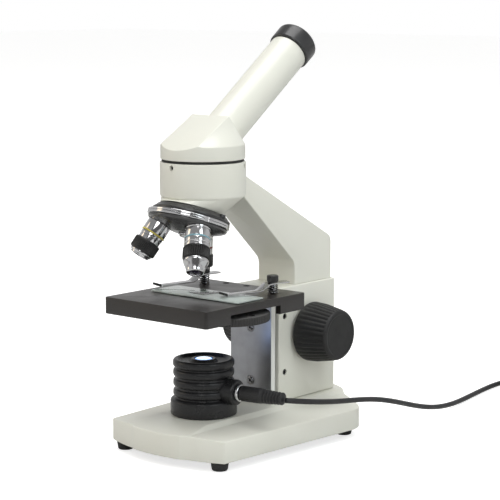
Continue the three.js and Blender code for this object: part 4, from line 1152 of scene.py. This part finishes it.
def add_lamp():
    profile = [
        (0, 25.3), (21.5, 25.3, 0.4), (22.1, 26.0, 0.4), (22.1, 35.2, 0.8), (21.0, 36.0, 0.5),
        (18.7, 36.5, 0.4),
    ]
    for middle in (40.2, 46.9, 53.6):
        profile += [
            (18.6, middle - 2.6, 0.5), (20.0, middle - 2.1, 0.7), (20.45, middle, 1.2),
            (20.0, middle + 2.1, 0.7), (18.6, middle + 2.6, 0.5),
        ]
    profile += [
        (18.6, 57.2, 0.5), (20.1, 57.9, 0.5), (20.45, 59.0, 0.5), (20.45, 61.4, 0.9), (19.3, 62.6, 0.7),
        (17.6, 62.6, 0.5), (15.9, 60.8, 0.8), (9.4, 60.2, 0.5), (8.2, 62.4, 0.5), (6.2, 62.4, 0.2),
        (5.9, 59.3), (0, 59.3),
    ]
    body = lathe(profile, 144)
    boss = along_x(lathe([
        (0, 12), (8.6, 12), (8.6, 26.0, 0.6), (7.8, 27.0, 0.6), (0, 27.0),
    ], 64), 0, JACK_Z, JACK_TURN)
    hole = along_x(rod(4, 20, 30, 48), 0, JACK_Z, JACK_TURN)
    body = cut(fuse(body, boss), hole)
    settle(body, "lamp_housing", "frame", LAMP_BLACK, ["lamp_body"], 28)
    lens = lathe([
        (0, 59.5), (5.7, 59.5), (5.7, 62.1, 0.3), (4.4, 62.5, 0.4), (2.4, 62.7), (0, 62.75),
    ], 96)
    settle(lens, "lamp_window", "frame", glowing(), ["lamp_lens"])
    nut = ring([
        (3.3, 27.3), (5.6, 27.3, 0.3), (5.9, 27.8, 0.2), (5.9, 29.1, 0.2), (5.5, 29.6, 0.3),
        (3.3, 29.6),
    ], 96)
    grooves = []
    for k in range(24):
        groove = block(-0.22, 0.22, 5.65, 6.5, 27.6, 29.3)
        grooves.append(moved(groove, Matrix.Rotation(2 * math.pi * k / 24, 4, "Z")))
    nut = along_x(cut(nut, gather(*grooves)), 0, JACK_Z, JACK_TURN)
    settle(nut, "jack_ring", "frame", CHROME, ["jack_nut"])


# ---- the CAD pieces that keep their own shape ----
def dress(node, look):
    made = bpy.data.objects[node]
    made.data.materials.clear()
    made.data.materials.append(look)


add_base()
add_housing()
add_bracket()
add_stage()
add_diaphragm()
add_clip("left", -1, -12.5)
add_clip("right", 1, -15.5)
add_specimen()
add_arm()
add_knobs()
add_head()
add_eyepiece()
add_nosepiece()
add_objectives()
add_lamp()
for node, look in (
    ("base_cover", BLACK_ENAMEL), ("stage_screw_1", STEEL), ("stage_screw_2", STEEL),
    ("led_board", BOARD), ("focus_rack", BRASS), ("pinion_shaft", STEEL), ("head_prism", CLEAR_GLASS),
):
    dress(node, look)


# ---- floor, world and lights ----
def add_floor():
    """A pale floor, lit from within where the camera sees it, so that it stays white."""
    floor = block(-9000, 9000, -9000, 9000, -40, -0.4, 0, "floor")
    floor.data.transform(Matrix.Scale(MILLIMETRE, 4))
    look = Look("floor_paper", (0.62, 0.62, 0.61), 0.8)
    look.tint(look.spread(look.noise(3, 2), 0, 1), (0.66, 0.66, 0.65), 0.3)
    seen = look.tree.nodes.new("ShaderNodeLightPath").outputs["Is Camera Ray"]
    look.link(look.spread(seen, 0.0, 0.72, 0, 1), look.shader.inputs["Emission Strength"])
    look.set(Emission_Color=(1, 1, 1, 1))
    floor.data.materials.append(look.material)


def add_world():
    """White where the camera sees it. Its light is grey, dim above and dark behind the camera."""
    world = bpy.data.worlds.new("studio")
    bpy.context.scene.world = world
    world.use_nodes = True
    nodes, links = world.node_tree.nodes, world.node_tree.links
    background = nodes["Background"]
    background.inputs["Color"].default_value = (1, 1, 1, 1)
    direction = nodes.new("ShaderNodeTexCoord").outputs["Generated"]

    def shade(towards, start, end, before, after):
        """A strength that runs from one value to another, as a ray turns towards a direction."""
        dot = nodes.new("ShaderNodeVectorMath")
        dot.operation = "DOT_PRODUCT"
        dot.inputs[1].default_value = Vector(towards).normalized()
        ramp = nodes.new("ShaderNodeMapRange")
        ramp.interpolation_type = "SMOOTHSTEP"
        links.new(direction, dot.inputs[0])
        links.new(dot.outputs["Value"], ramp.inputs["Value"])
        values = {"From Min": start, "From Max": end, "To Min": before, "To Max": after}
        for key, value in values.items():
            ramp.inputs[key].default_value = value
        return ramp.outputs["Result"]

    def combine(operation, a, b):
        made = nodes.new("ShaderNodeMath")
        made.operation = operation
        links.new(a, made.inputs[0])
        links.new(b, made.inputs[1])
        return made.outputs["Value"]

    ceiling = shade((0, 0, 1), 0.3, 0.6, 0.62, 0.34)
    behind = shade((0.65, -0.76, 0.1), 0.72, 0.9, 1.0, 0.22)
    seen = nodes.new("ShaderNodeLightPath").outputs["Is Camera Ray"]
    lit = combine("MULTIPLY", ceiling, behind)
    links.new(combine("MAXIMUM", lit, seen), background.inputs["Strength"])


def add_light(name, place, size, power, target=(0, 0, 0.13), colour=(1, 1, 1)):
    data = bpy.data.lights.new(name, "AREA")
    data.shape = "RECTANGLE"
    data.size, data.size_y = size
    data.energy = power
    data.color = colour
    light = bpy.data.objects.new(name, data)
    bpy.context.scene.collection.objects.link(light)
    light.location = place
    light.rotation_euler = (Vector(target) - Vector(place)).to_track_quat("-Z", "Y").to_euler()


add_floor()
add_world()
add_light("softbox_right", (1.5, -0.2, 1.2), (0.7, 1.1), 7.4, colour=(0.92, 1.0, 1.03))
add_light("softbox_top", (0.1, 0.0, 3.2), (2.3, 2.3), 68)
add_light("softbox_front", (0.8, -1.2, 1.05), (0.7, 0.7), 5.6)
add_light("softbox_left", (-1.3, -1.0, 0.7), (0.5, 1.0), 2.4, colour=(1.0, 0.82, 0.58))
add_light("lamp_spill", packed(0, 4, 66), (0.012, 0.012), 0.002, (0, 0.012, 0.095), (0.35, 0.55, 1.0))
bpy.context.scene.view_settings.view_transform = "Standard"
